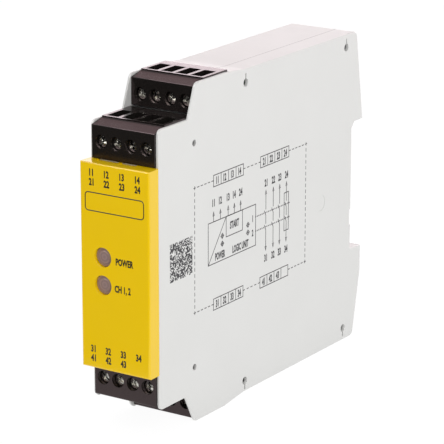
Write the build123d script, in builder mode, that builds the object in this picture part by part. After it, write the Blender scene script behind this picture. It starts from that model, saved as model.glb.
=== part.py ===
"""Safety relay in a slim stepped housing for a 35 mm top-hat rail.

The frame has its origin at the centre of the rail seat. +X runs across the
width, +Y runs from the front to the rear and +Z is up. Most sizes are given
as a depth, measured from the front of the yellow cover, and a height,
measured from the middle of the housing.
"""

import os
from dataclasses import dataclass

from build123d import *

# Housing envelope
WIDTH = 22.5
HEIGHT = 99.0
DEPTH = 114.5
SEAT_DEPTH = DEPTH - 6.3
SEAM_X = 4.5

# Housing walls
OUTER_WALL = 1.2
SIDE_WALL = 1.0
BAY_WALL = 0.75
EDGE_ROUND = 0.35

# Stepped outline, as depth and height
MAIN_HEIGHT = HEIGHT / 2 - 1.3
RAMP_START = 38.0
RAMP_END = 48.0
TIER_DEPTH = 19.5
TIER_DEPTH_LOWER = 18.0
CREST_DEPTH = 23.2
CREST_DEPTH_LOWER = 22.6
PLATE_DROP = 0.45
TIER_CORNER = 1.8
CREST_CORNER = 2.0
REAR_CORNER = 2.0
REAR_CORNER_DEPTH = DEPTH - 4.1

# Rail notch and its lips
NOTCH_TOP = 18.5
NOTCH_BOTTOM = 19.5
LIP_TOP = 20.3
LIP_BOTTOM = 20.0
LIP_LEAD = 1.6
LIP_EDGE = 0.7
FOOT_LOBE_BOTTOM = 28.0
PAD_HALF_HEIGHT = 15.2
PAD_RISE = 0.3
STEP_TOP = -7.0
STEP_HEIGHT = 5.0
STEP_CUT = 0.9

# Terminal bays
BAY_BACK_FRONT = 23.4
BAY_BACK_REAR = 40.6
BAY_FLOOR_STEP = 0.35

# Front cover
COVER_OVERHANG = 0.25
COVER_WIDTH = WIDTH + 2 * COVER_OVERHANG
COVER_DEPTH = 5.0
COVER_DROP = 19.4
COVER_RISE = 17.95
COVER_TOP = MAIN_HEIGHT - COVER_DROP
COVER_BOTTOM = COVER_RISE - MAIN_HEIGHT
COVER_WALL = 1.5
COVER_FACE = 1.6
COVER_ROUND = 0.6
COVER_SEAT = 0.1
PRY_RECESSES = [(-8.2, -1.5), (-0.6, 4.6)]
PRY_FRONT = 2.8
PRY_DEPTH = 0.35
TONGUE_X = -1.0
TONGUE_WIDTH = 6.0
TONGUE_THICK = 1.0
TONGUE_INSET = 3.5
BARB_HEIGHT = 0.4
BARB_LENGTH = 0.9
SLOT_GAP = 0.15

# Status windows
WINDOW_X = -4.05
WINDOW_HEIGHTS = {"upper": 2.4, "lower": -5.6}
WINDOW_RADIUS = 2.8
WINDOW_GAP = 0.05
WINDOW_RECESS = 1.1
WINDOW_FLANGE_RADIUS = 3.4
WINDOW_FLANGE = 0.8
GUIDE_RADIUS = 1.5
GUIDE_END = 9.6
GUIDE_GAP = 0.3

# Terminal blocks
POLE_MARGIN = 1.25
POLE_PITCH = (WIDTH - 2 * POLE_MARGIN) / 4
POLE_X = [-1.5 * POLE_PITCH, -0.5 * POLE_PITCH, 0.5 * POLE_PITCH, 1.5 * POLE_PITCH]
BLOCK_SIDE_GAP = 0.1
BLOCK_WIDTH = WIDTH - 2 * (BAY_WALL + BLOCK_SIDE_GAP)
BLOCK_BACK_GAP = 0.4
BLOCK_EDGE_GAP = 0.2
BLOCK_PASS_GAP = 0.3
BLOCK_FACE = 4.4
REAR_SHIFT = 18.8
RIM_DEPTH = 9.2
RIM_STEP = 0.4
EDGE_RADIUS = 0.35

# Terminal rows: their outer faces from the main height, and screws and creases from these
FRONT_DROP = 8.35
FRONT_DROP_LOWER = 7.35
REAR_RISE = 1.3
REAR_RISE_LOWER = 1.25
SCREW_DROP = 6.1
SCREW_DROP_LOWER = 6.4
SCREW_DROP_LOWER_REAR = 4.85
CREASE_DROP = 1.45
CREASE_DROP_LOWER = 1.15
CREASE_DROP_LOWER_REAR = 0.5

# Inside a terminal pole, depths for the front row and heights from the screw axis
CHAMBER_WALL = 0.8
CHAMBER_WIDTH = POLE_PITCH - CHAMBER_WALL
CAGE_SIDE_GAP = 0.1
CAGE_WIDTH = CHAMBER_WIDTH - 2 * CAGE_SIDE_GAP
CAGE_SIDE_WALL = 0.6
SHANK_SIDE_GAP = 0.15
SHANK_RADIUS = CAGE_WIDTH / 2 - CAGE_SIDE_WALL - SHANK_SIDE_GAP
SHANK_GAP = 0.08
HEAD_LIP = 0.55
HEAD_RADIUS = SHANK_RADIUS + HEAD_LIP
HEAD_GAP = 0.2
SCREW_BORE = HEAD_RADIUS + HEAD_GAP
HEAD_TOP = 5.5
HEAD_HEIGHT = 1.4
SHOULDER = 0.8
SHOULDER_GAP = 0.1
SHOULDER_HOLE = SHANK_RADIUS + SHOULDER_GAP
SCREW_TIP = 11.85
DRIVE_SLOT = 0.6
DRIVE_DEPTH = 0.7
CROSS_LENGTH = 2.3
CHAMBER_BACK = 17.6
CHAMBER_FLOOR = -2.85
CHAMBER_CEILING = 2.6
WIRE_INSET = 0.2
WIRE_WIDTH = CHAMBER_WIDTH - 2 * WIRE_INSET
WIRE_FRONT = 10.0
WIRE_BACK = 17.4
CAGE_HEIGHT = 4.2
CAGE_FRONT = 10.2
CAGE_BACK = 17.2
CAGE_THREAD_WALL = 1.4
CAGE_REAR_WALL = 1.0
BAR_SIDE_GAP = 0.1
BAR_WIDTH = CAGE_WIDTH - 2 * (CAGE_SIDE_WALL + BAR_SIDE_GAP)
BAR_FRONT = 11.9
BAR_THICK = 1.0
BAR_TOP = 2.2
BAR_BOTTOM = -2.8
TAIL_THICK = 0.6
TAIL_WIDTH = 1.1
TAIL_END = 19.2
SOCKET_WIDTH = 1.4
SOCKET_TOP = -1.4
PIN_THICK = 0.6
PIN_WIDTH = 0.8
PIN_TIP = 17.8
PIN_HOLE_GAP = 0.2
PIN_STAGGER = 2.5
PIN_FIRST_LEG = 4.1
PIN_CONTACT_GAP = 0.02

# Circuit board
BOARD_PAD = 0.45
BOARD_BACK_X = SIDE_WALL + BOARD_PAD - WIDTH / 2
BOARD_THICK = 1.6
ROOM_OVER_BOARD = WIDTH - 2 * SIDE_WALL - BOARD_PAD - BOARD_THICK
BOARD_FRONT = 9.0
BOARD_REAR = SEAT_DEPTH - 2.8
BOARD_NOSE_HEIGHT = COVER_TOP - 2.3
BOARD_HEIGHT = MAIN_HEIGHT - 3.6
BOARD_CLEARANCE = 0.7
POST_RADIUS = 1.35
POST_GAP = 0.3
POST_TIP_GAP = 0.75
POST_TIP_X = WIDTH / 2 - SIDE_WALL - POST_TIP_GAP

# Marks on the side cover, as depth and height
KEYHOLES = [
    (48.5, MAIN_HEIGHT - 4.0),
    (SEAT_DEPTH - 4.0, MAIN_HEIGHT - 4.0),
    (48.6, 3.3 - MAIN_HEIGHT),
    (SEAT_DEPTH - 3.7, 3.8 - MAIN_HEIGHT),
]
KEYHOLE_RADIUS = 1.2
KEYHOLE_SLOT = 0.6
KEYHOLE_REACH = 2.7
PLAIN_HOLES = [
    (BAY_BACK_FRONT - 1.0, COVER_TOP + 3.4),
    (BAY_BACK_FRONT - 1.0, COVER_BOTTOM - 2.75),
]
PLAIN_HOLE_RADIUS = 0.95
EJECTOR_SETBACK = 17.9
EJECTOR_MARK = (SEAT_DEPTH - EJECTOR_SETBACK, -1.0)
EJECTOR_RADIUS = 2.5
EJECTOR_DEPTH = 0.12

# Electronics on the board, as depth and height
SUPPLY_CAPACITOR = (34.0, -18.0)
SUPPLY_CAPACITOR_RADIUS = 5.0
SUPPLY_CAPACITOR_GAP = 2.45
SUPPLY_CAPACITOR_HEIGHT = ROOM_OVER_BOARD - SUPPLY_CAPACITOR_GAP
SMALL_CAPACITORS = [(30.0, 20.0), (38.0, 20.0), (30.0, 12.0)]
SMALL_CAPACITOR_RADIUS = 3.1
SMALL_CAPACITOR_HEIGHT = 11.0
RELAY_FRONT_GAP = 8.0
RELAY_REAR_GAP = 6.4
RELAY_FRONT = SUPPLY_CAPACITOR[0] + SUPPLY_CAPACITOR_RADIUS + RELAY_FRONT_GAP
RELAY_LENGTH = BOARD_REAR - RELAY_REAR_GAP - RELAY_FRONT
RELAY_HEIGHT = 15.8
RELAY_TOP_GAP = 3.25
RELAY_THICK = ROOM_OVER_BOARD - RELAY_TOP_GAP
RELAY_BASE_THICK = 2.0
RELAY_BASE_LIP = 0.5
RELAY_DEPTH = RELAY_FRONT + RELAY_LENGTH / 2
RELAY_HEIGHTS = {"k1": 10.5, "k2": -10.5}
CHIP_PLACE = (30.0, 0.0)
CHIP_SIZE = 10.0
CHIP_THICK = 1.8
CHIP_LEG_COUNT = 8
CHIP_LEG_PITCH = 1.1
CHIP_LEG_WIDTH = 0.5
CHIP_LEG_REACH = 1.2
CHIP_STAND = 0.2
LED_RADIUS = 1.5
LED_TIP = 10.0
LED_LENGTH = 4.0
LED_BASE_LENGTH = 2.0
LED_DOME = 1.1
CASE_ROUND = 0.8
CASE_EDGE = 0.5
CRIMP_PLACE = 1.4
CRIMP_WIDTH = 0.7
CRIMP_DEPTH = 0.35

# Sprung rail foot, as half widths across X, depths and heights
FOOT_HALF_WIDTH = 6.4
FOOT_FLANGE_HALF_WIDTH = 7.8
FOOT_GAP = 0.2
FOOT_FRONT = SEAT_DEPTH - 0.9
FOOT_FLANGE_BACK = SEAT_DEPTH + 0.3
FOOT_BACK = SEAT_DEPTH + 2.4
FOOT_BOTTOM = 1.0 - MAIN_HEIGHT
FOOT_FLANGE_TOP = -20.6
FOOT_SHOULDER = -17.8
FOOT_NOSE_FRONT = SEAT_DEPTH + 1.3
FOOT_NOSE_BACK = SEAT_DEPTH + 3.8
FOOT_NOSE_TOP = -16.2
FOOT_NOSE_TIP = 0.625
FOOT_NOSE_BOTTOM = -23.1
FOOT_NOSE_FOOT = -25.6
CHANNEL_TOP = -20.4
CAVITY_FOOT_TOP = 18.0
DRIVER_SLOT_WIDTH = 6.0
DRIVER_SLOT_HEIGHT = 1.2
DRIVER_SLOT_RISE = 2.4
SPRING_WINDOW_HALF_WIDTH = 2.6
SPRING_WINDOW_TOP = -26.0
SPRING_STOP_TOP = -36.3
SPRING_STOP_HEIGHT = 1.5
SPRING_RADIUS = 1.5
SPRING_WIRE = 0.35
SPRING_COILS = 6
SPRING_END_GAP = 0.05
HOOK_HALF_WIDTH = 6.5
HOOK_FRONT = SEAT_DEPTH + 1.5
HOOK_BACK = SEAT_DEPTH + 4.0
HOOK_TIP = 15.9
HOOK_TIP_LENGTH = 0.83
HOOK_POCKET = 18.0

# Cutters run past what they cut by this much
OVERCUT = 1.0


@dataclass(frozen=True)
class Row:
    """One row of terminals, with its heights counted away from the middle.

    The inside of each pole lies shift behind its place in a front row. The
    block reaches from inner to outer, and screw_drop and crease_drop are
    counted from outer. below marks the rows of the lower half.
    """

    name: str
    below: bool
    shift: float
    bay_back: float
    floor: float
    inner: float
    outer: float
    screw_drop: float
    crease_drop: float

    def side(self):
        """Returns the sign of the half that the row is in."""
        return -1 if self.below else 1

    def screw_height(self):
        """Returns the height of the screws' axes."""
        return self.outer - self.screw_drop

    def pin_height(self):
        """Returns the height of the header pins' middle."""
        bar_face = self.screw_height() + BAR_BOTTOM + TAIL_THICK
        return bar_face + PIN_CONTACT_GAP + PIN_THICK / 2


def front_row(name, below, outer, screw_drop, crease_drop):
    """Returns a front row, whose bay begins at the edge of the yellow cover."""
    cover_edge = -COVER_BOTTOM if below else COVER_TOP
    return Row(
        name, below, 0.0, BAY_BACK_FRONT, cover_edge - COVER_SEAT,
        cover_edge + BLOCK_EDGE_GAP, outer, screw_drop, crease_drop,
    )


def rear_row(name, front, outer, screw_drop, crease_drop):
    """Returns a rear row, which passes over the front row of its half."""
    return Row(
        name, front.below, REAR_SHIFT, BAY_BACK_REAR, front.outer - BAY_FLOOR_STEP,
        front.outer + BLOCK_PASS_GAP, outer, screw_drop, crease_drop,
    )


UPPER_FRONT = front_row(
    "upper_front", below=False, outer=MAIN_HEIGHT - FRONT_DROP,
    screw_drop=SCREW_DROP, crease_drop=CREASE_DROP,
)
UPPER_REAR = rear_row(
    "upper_rear", UPPER_FRONT, outer=MAIN_HEIGHT + REAR_RISE,
    screw_drop=SCREW_DROP, crease_drop=CREASE_DROP,
)
LOWER_FRONT = front_row(
    "lower_front", below=True, outer=MAIN_HEIGHT - FRONT_DROP_LOWER,
    screw_drop=SCREW_DROP_LOWER, crease_drop=CREASE_DROP_LOWER,
)
LOWER_REAR = rear_row(
    "lower_rear", LOWER_FRONT, outer=MAIN_HEIGHT + REAR_RISE_LOWER,
    screw_drop=SCREW_DROP_LOWER_REAR, crease_drop=CREASE_DROP_LOWER_REAR,
)
ROWS = [UPPER_FRONT, UPPER_REAR, LOWER_FRONT, LOWER_REAR]


# Work planes

def side_plane(x):
    """Plane across X, with depth and height as its own axes."""
    return Plane(origin=(x, -SEAT_DEPTH, 0), x_dir=(0, 1, 0), z_dir=(1, 0, 0))


def front_plane(depth):
    """Plane that faces the front, with X and height as its own axes."""
    return Plane(origin=(0, depth - SEAT_DEPTH, 0), x_dir=(1, 0, 0), z_dir=(0, -1, 0))


def level_plane(height):
    """Level plane that faces up, with X and depth as its own axes."""
    return Plane(origin=(0, -SEAT_DEPTH, height), x_dir=(1, 0, 0), z_dir=(0, 0, 1))


def span(low, high, mode=Mode.ADD):
    """Draws the rectangle between two opposite corners."""
    centre = ((low[0] + high[0]) / 2, (low[1] + high[1]) / 2)
    with Locations(centre):
        Rectangle(high[0] - low[0], high[1] - low[1], mode=mode)


# Housing outlines, drawn on side planes

def draw_outline(corners):
    """Draws a closed face from corners given as depth, height and radius."""
    with BuildLine() as outline:
        FilletPolyline(
            *[(depth, height) for depth, height, _ in corners],
            radius=[radius for _, _, radius in corners],
            close=True,
        )
    make_face(outline.edges())


def plate_outline():
    """Draws the outline of the whole housing seen from the side."""
    tier = UPPER_FRONT.outer - PLATE_DROP
    crest = UPPER_REAR.outer - PLATE_DROP
    tier_lower = LOWER_FRONT.outer
    crest_lower = HEIGHT / 2
    draw_outline([
        (COVER_DEPTH, tier, TIER_CORNER),
        (TIER_DEPTH, tier, 0),
        (CREST_DEPTH, crest, CREST_CORNER),
        (RAMP_START, crest, 0),
        (RAMP_END, MAIN_HEIGHT, 0),
        (REAR_CORNER_DEPTH, MAIN_HEIGHT, REAR_CORNER),
        (DEPTH, LIP_TOP + LIP_EDGE, 0),
        (DEPTH, LIP_TOP, 0),
        (SEAT_DEPTH + LIP_LEAD, LIP_TOP, 0),
        (SEAT_DEPTH, NOTCH_TOP, 0),
        (SEAT_DEPTH, -NOTCH_BOTTOM, 0),
        (DEPTH, -LIP_BOTTOM, 0),
        (DEPTH, -FOOT_LOBE_BOTTOM, 0),
        (REAR_CORNER_DEPTH, -MAIN_HEIGHT, REAR_CORNER),
        (RAMP_END, -MAIN_HEIGHT, 0),
        (RAMP_START, -crest_lower, 0),
        (CREST_DEPTH_LOWER, -crest_lower, CREST_CORNER),
        (TIER_DEPTH_LOWER, -tier_lower, 0),
        (COVER_DEPTH, -tier_lower, TIER_CORNER),
    ])


def core_outline():
    """Draws the outline of the closed housing between the side plates."""
    plate_outline()
    for row in ROWS:
        floor = row.side() * row.floor
        span((0, floor), (row.bay_back, row.side() * HEIGHT), Mode.SUBTRACT)


def cavity_outline():
    """Draws the hollow inside the core, one outer wall in from its outline."""
    rear = SEAT_DEPTH - STEP_CUT - OUTER_WALL
    front = COVER_DEPTH + OUTER_WALL
    main = MAIN_HEIGHT - OUTER_WALL
    for row, start in (
        (UPPER_FRONT, front),
        (LOWER_FRONT, front),
        (UPPER_REAR, BAY_BACK_FRONT + OUTER_WALL),
        (LOWER_REAR, BAY_BACK_FRONT + OUTER_WALL),
    ):
        span((start, 0), (rear, row.side() * (row.floor - OUTER_WALL)))
    span((BAY_BACK_REAR + OUTER_WALL, -main), (rear, main))
    span((FOOT_FRONT - FOOT_GAP - OUTER_WALL, -main), (rear, -CAVITY_FOOT_TOP), Mode.SUBTRACT)
    lobe_top = REAR_CORNER_DEPTH - OUTER_WALL
    lobe_rear = DEPTH - OUTER_WALL
    lobe_low = LIP_TOP + OUTER_WALL
    draw_outline([
        (rear - OUTER_WALL, lobe_low, 0),
        (rear - OUTER_WALL, main, 0),
        (lobe_top, main, 0),
        (lobe_rear, lobe_low + LIP_EDGE, 0),
        (lobe_rear, lobe_low, 0),
    ])


# Cutters and bosses shared by the two shells

def cut_rail_steps():
    """Relieves the rail notch round the seat pad and cuts its small step."""
    relief = SEAT_DEPTH - PAD_RISE
    with BuildSketch(side_plane(-WIDTH / 2)) as steps:
        span((relief, PAD_HALF_HEIGHT), (SEAT_DEPTH, NOTCH_TOP))
        span((relief, -NOTCH_BOTTOM), (SEAT_DEPTH, -PAD_HALF_HEIGHT))
        span((SEAT_DEPTH - STEP_CUT, STEP_TOP - STEP_HEIGHT), (SEAT_DEPTH, STEP_TOP))
    extrude(steps.sketch, amount=WIDTH, mode=Mode.SUBTRACT)


def cut_pin_holes():
    """Cuts the holes through which the header pins enter the terminal bays."""
    width = PIN_WIDTH + 2 * PIN_HOLE_GAP
    thick = PIN_THICK + 2 * PIN_HOLE_GAP
    for row in ROWS:
        with BuildSketch(front_plane(row.bay_back - OVERCUT)) as holes:
            with Locations(*[(x, row.side() * row.pin_height()) for x in POLE_X]):
                Rectangle(width, thick)
        extrude(holes.sketch, amount=-OUTER_WALL - 2 * OVERCUT, mode=Mode.SUBTRACT)


def cut_foot_channel():
    """Cuts the channel, open at the rear and below, in which the foot slides."""
    half = FOOT_HALF_WIDTH + FOOT_GAP
    flange_half = FOOT_FLANGE_HALF_WIDTH + FOOT_GAP
    front = FOOT_FRONT - FOOT_GAP
    rear = DEPTH + OVERCUT
    with BuildSketch(level_plane(CHANNEL_TOP)) as channel:
        span((-half, front), (half, rear))
        span((-flange_half, front), (flange_half, FOOT_FLANGE_BACK + FOOT_GAP))
    extrude(channel.sketch, amount=-HEIGHT / 2, mode=Mode.SUBTRACT)
    with BuildSketch(level_plane(CHANNEL_TOP)) as mouth:
        span((-half, SEAT_DEPTH - PAD_RISE), (half, rear))
    extrude(mouth.sketch, amount=-CHANNEL_TOP - NOTCH_BOTTOM + OVERCUT, mode=Mode.SUBTRACT)


def add_rail_hook(low_x, high_x):
    """Adds the part of the fixed rail hook that lies between two places on X."""
    lead = HOOK_BACK - HOOK_FRONT
    with BuildSketch(side_plane(low_x)) as hook:
        draw_outline([
            (SEAT_DEPTH - OUTER_WALL, LIP_TOP + OUTER_WALL, 0),
            (SEAT_DEPTH - OUTER_WALL, HOOK_POCKET, 0),
            (HOOK_FRONT, HOOK_POCKET, 0),
            (HOOK_FRONT, HOOK_TIP, 0),
            (HOOK_FRONT + HOOK_TIP_LENGTH, HOOK_TIP, 0),
            (HOOK_BACK, HOOK_TIP + lead, 0),
            (HOOK_BACK, LIP_TOP + OUTER_WALL, 0),
        ])
    extrude(hook.sketch, amount=high_x - low_x)


# Left shell

def make_housing_base():
    """Builds the deep left shell with its walls, posts, hook and foot channel."""
    low = -WIDTH / 2
    with BuildPart() as base:
        with BuildSketch(side_plane(low)):
            core_outline()
        extrude(amount=SEAM_X - low)
        with BuildSketch(side_plane(low)):
            plate_outline()
        extrude(amount=BAY_WALL)
        rim = base.faces().sort_by(Axis.X)[0].outer_wire().edges()
        fillet(rim, EDGE_ROUND)
        with BuildSketch(side_plane(low + SIDE_WALL)):
            cavity_outline()
        extrude(amount=WIDTH, mode=Mode.SUBTRACT)
        add_rail_hook(-HOOK_HALF_WIDTH, SEAM_X)
        cut_rail_steps()
        cut_foot_channel()
        cut_pin_holes()

        # Spring stop on the floor of the foot channel
        with BuildSketch(level_plane(SPRING_STOP_TOP)):
            half = SPRING_WINDOW_HALF_WIDTH - FOOT_GAP
            span((-half, FOOT_FRONT - FOOT_GAP), (half, FOOT_BACK - FOOT_GAP))
        extrude(amount=-SPRING_STOP_HEIGHT)

        # Openings in the front wall for the light guides and the cover's tongues
        with BuildSketch(front_plane(COVER_DEPTH)):
            with Locations(*[(WINDOW_X, height) for height in WINDOW_HEIGHTS.values()]):
                Circle(GUIDE_RADIUS + GUIDE_GAP)
            with Locations(*[(TONGUE_X, height) for height in tongue_slot_heights()]):
                slot_height = TONGUE_THICK + BARB_HEIGHT / 2 + SLOT_GAP
                Rectangle(TONGUE_WIDTH + 2 * SLOT_GAP, slot_height)
        extrude(amount=-2 * OUTER_WALL, mode=Mode.SUBTRACT)

        # Posts that carry the side cover, and pads under the board
        with BuildSketch(side_plane(low + SIDE_WALL)):
            with Locations(*KEYHOLES):
                Circle(POST_RADIUS)
        extrude(amount=POST_TIP_X - low - SIDE_WALL)
        with BuildSketch(side_plane(low + SIDE_WALL)):
            with Locations(*board_pads()):
                Circle(POST_RADIUS)
        extrude(amount=BOARD_BACK_X - low - SIDE_WALL)
    return base


def tongue_slot_heights():
    """Returns the heights of the slots that take the cover's two tongues."""
    middle = TONGUE_THICK / 2 + BARB_HEIGHT / 4
    top = COVER_TOP - TONGUE_INSET - TONGUE_THICK
    bottom = COVER_BOTTOM + TONGUE_INSET + TONGUE_THICK
    return [top + middle, bottom - middle]


def board_pads():
    """Returns the places of the pads that hold the board off the side wall."""
    inset = 2 * POST_RADIUS
    return [
        (BOARD_FRONT + inset, BOARD_NOSE_HEIGHT - inset),
        (BOARD_FRONT + inset, -BOARD_NOSE_HEIGHT + inset),
        (BOARD_REAR - inset, BOARD_NOSE_HEIGHT),
        (BOARD_REAR - inset, -BOARD_NOSE_HEIGHT),
        ((BOARD_FRONT + BOARD_REAR) / 2, 0),
    ]


# Right shell

def make_side_cover():
    """Builds the right side plate with its rim, holes and moulding mark."""
    high = WIDTH / 2
    with BuildPart() as cover:
        with BuildSketch(side_plane(SEAM_X)):
            core_outline()
        extrude(amount=high - SEAM_X)
        with BuildSketch(side_plane(high - BAY_WALL)):
            plate_outline()
        extrude(amount=BAY_WALL)
        rim = cover.faces().sort_by(Axis.X)[-1].outer_wire().edges()
        fillet(rim, EDGE_ROUND)
        with BuildSketch(side_plane(high - SIDE_WALL)):
            cavity_outline()
        extrude(amount=-WIDTH, mode=Mode.SUBTRACT)
        add_rail_hook(SEAM_X, HOOK_HALF_WIDTH)
        cut_rail_steps()
        cut_foot_channel()
        cut_pin_holes()

        # Round holes beside the backs of the two front blocks
        with BuildSketch(side_plane(high)):
            with Locations(*PLAIN_HOLES):
                Circle(PLAIN_HOLE_RADIUS)
        extrude(amount=-BAY_WALL, mode=Mode.SUBTRACT)

        # Keyholes over the posts of the base, slotted towards the nearer edge
        with BuildSketch(side_plane(high)):
            for depth, height in KEYHOLES:
                outward = 1 if height > 0 else -1
                with Locations((depth, height)):
                    Circle(KEYHOLE_RADIUS)
                with Locations((depth, height + outward * KEYHOLE_REACH / 2)):
                    Rectangle(KEYHOLE_SLOT, KEYHOLE_REACH)
        extrude(amount=-2 * SIDE_WALL, mode=Mode.SUBTRACT)

        with BuildSketch(side_plane(high)):
            with Locations(EJECTOR_MARK):
                Circle(EJECTOR_RADIUS)
        extrude(amount=-EJECTOR_DEPTH, mode=Mode.SUBTRACT)
    return cover


# Front cover and status windows

def make_front_cover():
    """Builds the shallow yellow cover with its window holes and catch tongues."""
    with BuildPart() as cover:
        with BuildSketch(front_plane(COVER_DEPTH)):
            span((-COVER_WIDTH / 2, COVER_BOTTOM), (COVER_WIDTH / 2, COVER_TOP))
        extrude(amount=COVER_DEPTH)
        front = cover.faces().sort_by(Axis.Y)[0]
        upright = cover.edges().filter_by(Axis.Z)
        fillet(front.edges() + upright, COVER_ROUND)
        with BuildSketch(front_plane(COVER_DEPTH)):
            span(
                (-COVER_WIDTH / 2 + COVER_WALL, COVER_BOTTOM + COVER_WALL),
                (COVER_WIDTH / 2 - COVER_WALL, COVER_TOP - COVER_WALL),
            )
        extrude(amount=COVER_DEPTH - COVER_FACE, mode=Mode.SUBTRACT)
        with BuildSketch(front_plane(COVER_DEPTH)):
            with Locations(*[(WINDOW_X, height) for height in WINDOW_HEIGHTS.values()]):
                Circle(WINDOW_RADIUS + WINDOW_GAP)
        extrude(amount=COVER_DEPTH, mode=Mode.SUBTRACT)

        # Shallow recesses in the top edge, where a screwdriver lifts the cover
        with BuildSketch(level_plane(COVER_TOP)):
            for left, right in PRY_RECESSES:
                span((left, PRY_FRONT), (right, COVER_DEPTH))
        extrude(amount=-PRY_DEPTH, mode=Mode.SUBTRACT)

        # Tongues with a barb that catches behind the housing's front wall
        barb_start = COVER_DEPTH + OUTER_WALL + SLOT_GAP
        tongue_end = barb_start + BARB_LENGTH + SLOT_GAP
        for edge, outward in ((COVER_TOP, 1), (COVER_BOTTOM, -1)):
            outer = edge - outward * TONGUE_INSET
            inner = outer - outward * TONGUE_THICK
            tip = outer + outward * BARB_HEIGHT
            with BuildSketch(side_plane(TONGUE_X - TONGUE_WIDTH / 2)):
                draw_outline([
                    (COVER_FACE, inner, 0),
                    (COVER_FACE, outer, 0),
                    (barb_start, outer, 0),
                    (barb_start, tip, 0),
                    (tongue_end, outer, 0),
                    (tongue_end, inner, 0),
                ])
            extrude(amount=TONGUE_WIDTH)
    return cover


def make_status_window(height):
    """Builds a light guide: its disc in the cover, its flange and its stem."""
    with BuildPart() as window:
        with BuildSketch(front_plane(WINDOW_RECESS)):
            with Locations((WINDOW_X, height)):
                Circle(WINDOW_RADIUS)
        extrude(amount=WINDOW_RECESS - COVER_FACE)
        with BuildSketch(front_plane(COVER_FACE)):
            with Locations((WINDOW_X, height)):
                Circle(WINDOW_FLANGE_RADIUS)
        extrude(amount=-WINDOW_FLANGE)
        with BuildSketch(front_plane(COVER_FACE + WINDOW_FLANGE)):
            with Locations((WINDOW_X, height)):
                Circle(GUIDE_RADIUS)
        extrude(amount=COVER_FACE + WINDOW_FLANGE - GUIDE_END)
    return window


# Terminal blocks, built for the upper half and mirrored for the lower

def make_terminal(row):
    """Builds the black body of a four-pole terminal block."""
    axis = row.screw_height()
    shift = row.shift
    back = row.bay_back - BLOCK_BACK_GAP
    with BuildPart() as body:
        with BuildSketch(side_plane(-BLOCK_WIDTH / 2)):
            draw_outline([
                (shift + BLOCK_FACE, row.inner, 0),
                (shift + BLOCK_FACE, row.outer - row.crease_drop, EDGE_RADIUS),
                (shift + RIM_DEPTH, row.outer - RIM_STEP, 0),
                (shift + RIM_DEPTH, row.outer, 0),
                (back, row.outer, EDGE_RADIUS),
                (back, row.inner, 0),
            ])
        extrude(amount=BLOCK_WIDTH)

        # Chambers for the cages
        with BuildSketch(front_plane(shift + HEAD_TOP + HEAD_HEIGHT + SHOULDER)):
            middle = axis + (CHAMBER_FLOOR + CHAMBER_CEILING) / 2
            with Locations(*[(x, middle) for x in POLE_X]):
                Rectangle(CHAMBER_WIDTH, CHAMBER_CEILING - CHAMBER_FLOOR)
        chamber_length = CHAMBER_BACK - HEAD_TOP - HEAD_HEIGHT - SHOULDER
        extrude(amount=-chamber_length, mode=Mode.SUBTRACT)

        # Wire openings from the top
        with BuildSketch(level_plane(axis)):
            middle = shift + (WIRE_FRONT + WIRE_BACK) / 2
            with Locations(*[(x, middle) for x in POLE_X]):
                Rectangle(WIRE_WIDTH, WIRE_BACK - WIRE_FRONT)
        extrude(amount=row.outer, mode=Mode.SUBTRACT)

        # Screw bores from the front and the holes through their shoulders
        with BuildSketch(front_plane(shift + HEAD_TOP + HEAD_HEIGHT)):
            with Locations(*[(x, axis) for x in POLE_X]):
                Circle(SCREW_BORE)
        extrude(amount=shift + HEAD_TOP, mode=Mode.SUBTRACT)
        with BuildSketch(front_plane(shift + HEAD_TOP)):
            with Locations(*[(x, axis) for x in POLE_X]):
                Circle(SHOULDER_HOLE)
        extrude(amount=-HEAD_HEIGHT - SHOULDER, mode=Mode.SUBTRACT)

        # Sockets for the header pins at the rear
        with BuildSketch(front_plane(shift + CHAMBER_BACK)):
            middle = axis + (CHAMBER_FLOOR + SOCKET_TOP) / 2
            with Locations(*[(x, middle) for x in POLE_X]):
                Rectangle(SOCKET_WIDTH, SOCKET_TOP - CHAMBER_FLOOR)
        extrude(amount=-BAY_BACK_FRONT, mode=Mode.SUBTRACT)
        if row.below:
            mirror(about=Plane.XY, mode=Mode.REPLACE)
    return body


def make_screw(row, x):
    """Builds one terminal screw with a slot and cross drive."""
    axis = row.screw_height()
    head = row.shift + HEAD_TOP
    with BuildPart() as screw:
        with BuildSketch(front_plane(head)):
            with Locations((x, axis)):
                Circle(HEAD_RADIUS)
        extrude(amount=-HEAD_HEIGHT + SHANK_GAP)
        with BuildSketch(front_plane(head)):
            with Locations((x, axis)):
                Circle(SHANK_RADIUS)
        extrude(amount=-(SCREW_TIP - HEAD_TOP))
        with BuildSketch(front_plane(head)):
            with Locations((x, axis)):
                Rectangle(DRIVE_SLOT, 2 * (HEAD_RADIUS + OVERCUT))
                Rectangle(CROSS_LENGTH, DRIVE_SLOT)
        extrude(amount=-DRIVE_DEPTH, mode=Mode.SUBTRACT)
        if row.below:
            mirror(about=Plane.XY, mode=Mode.REPLACE)
    return screw


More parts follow.
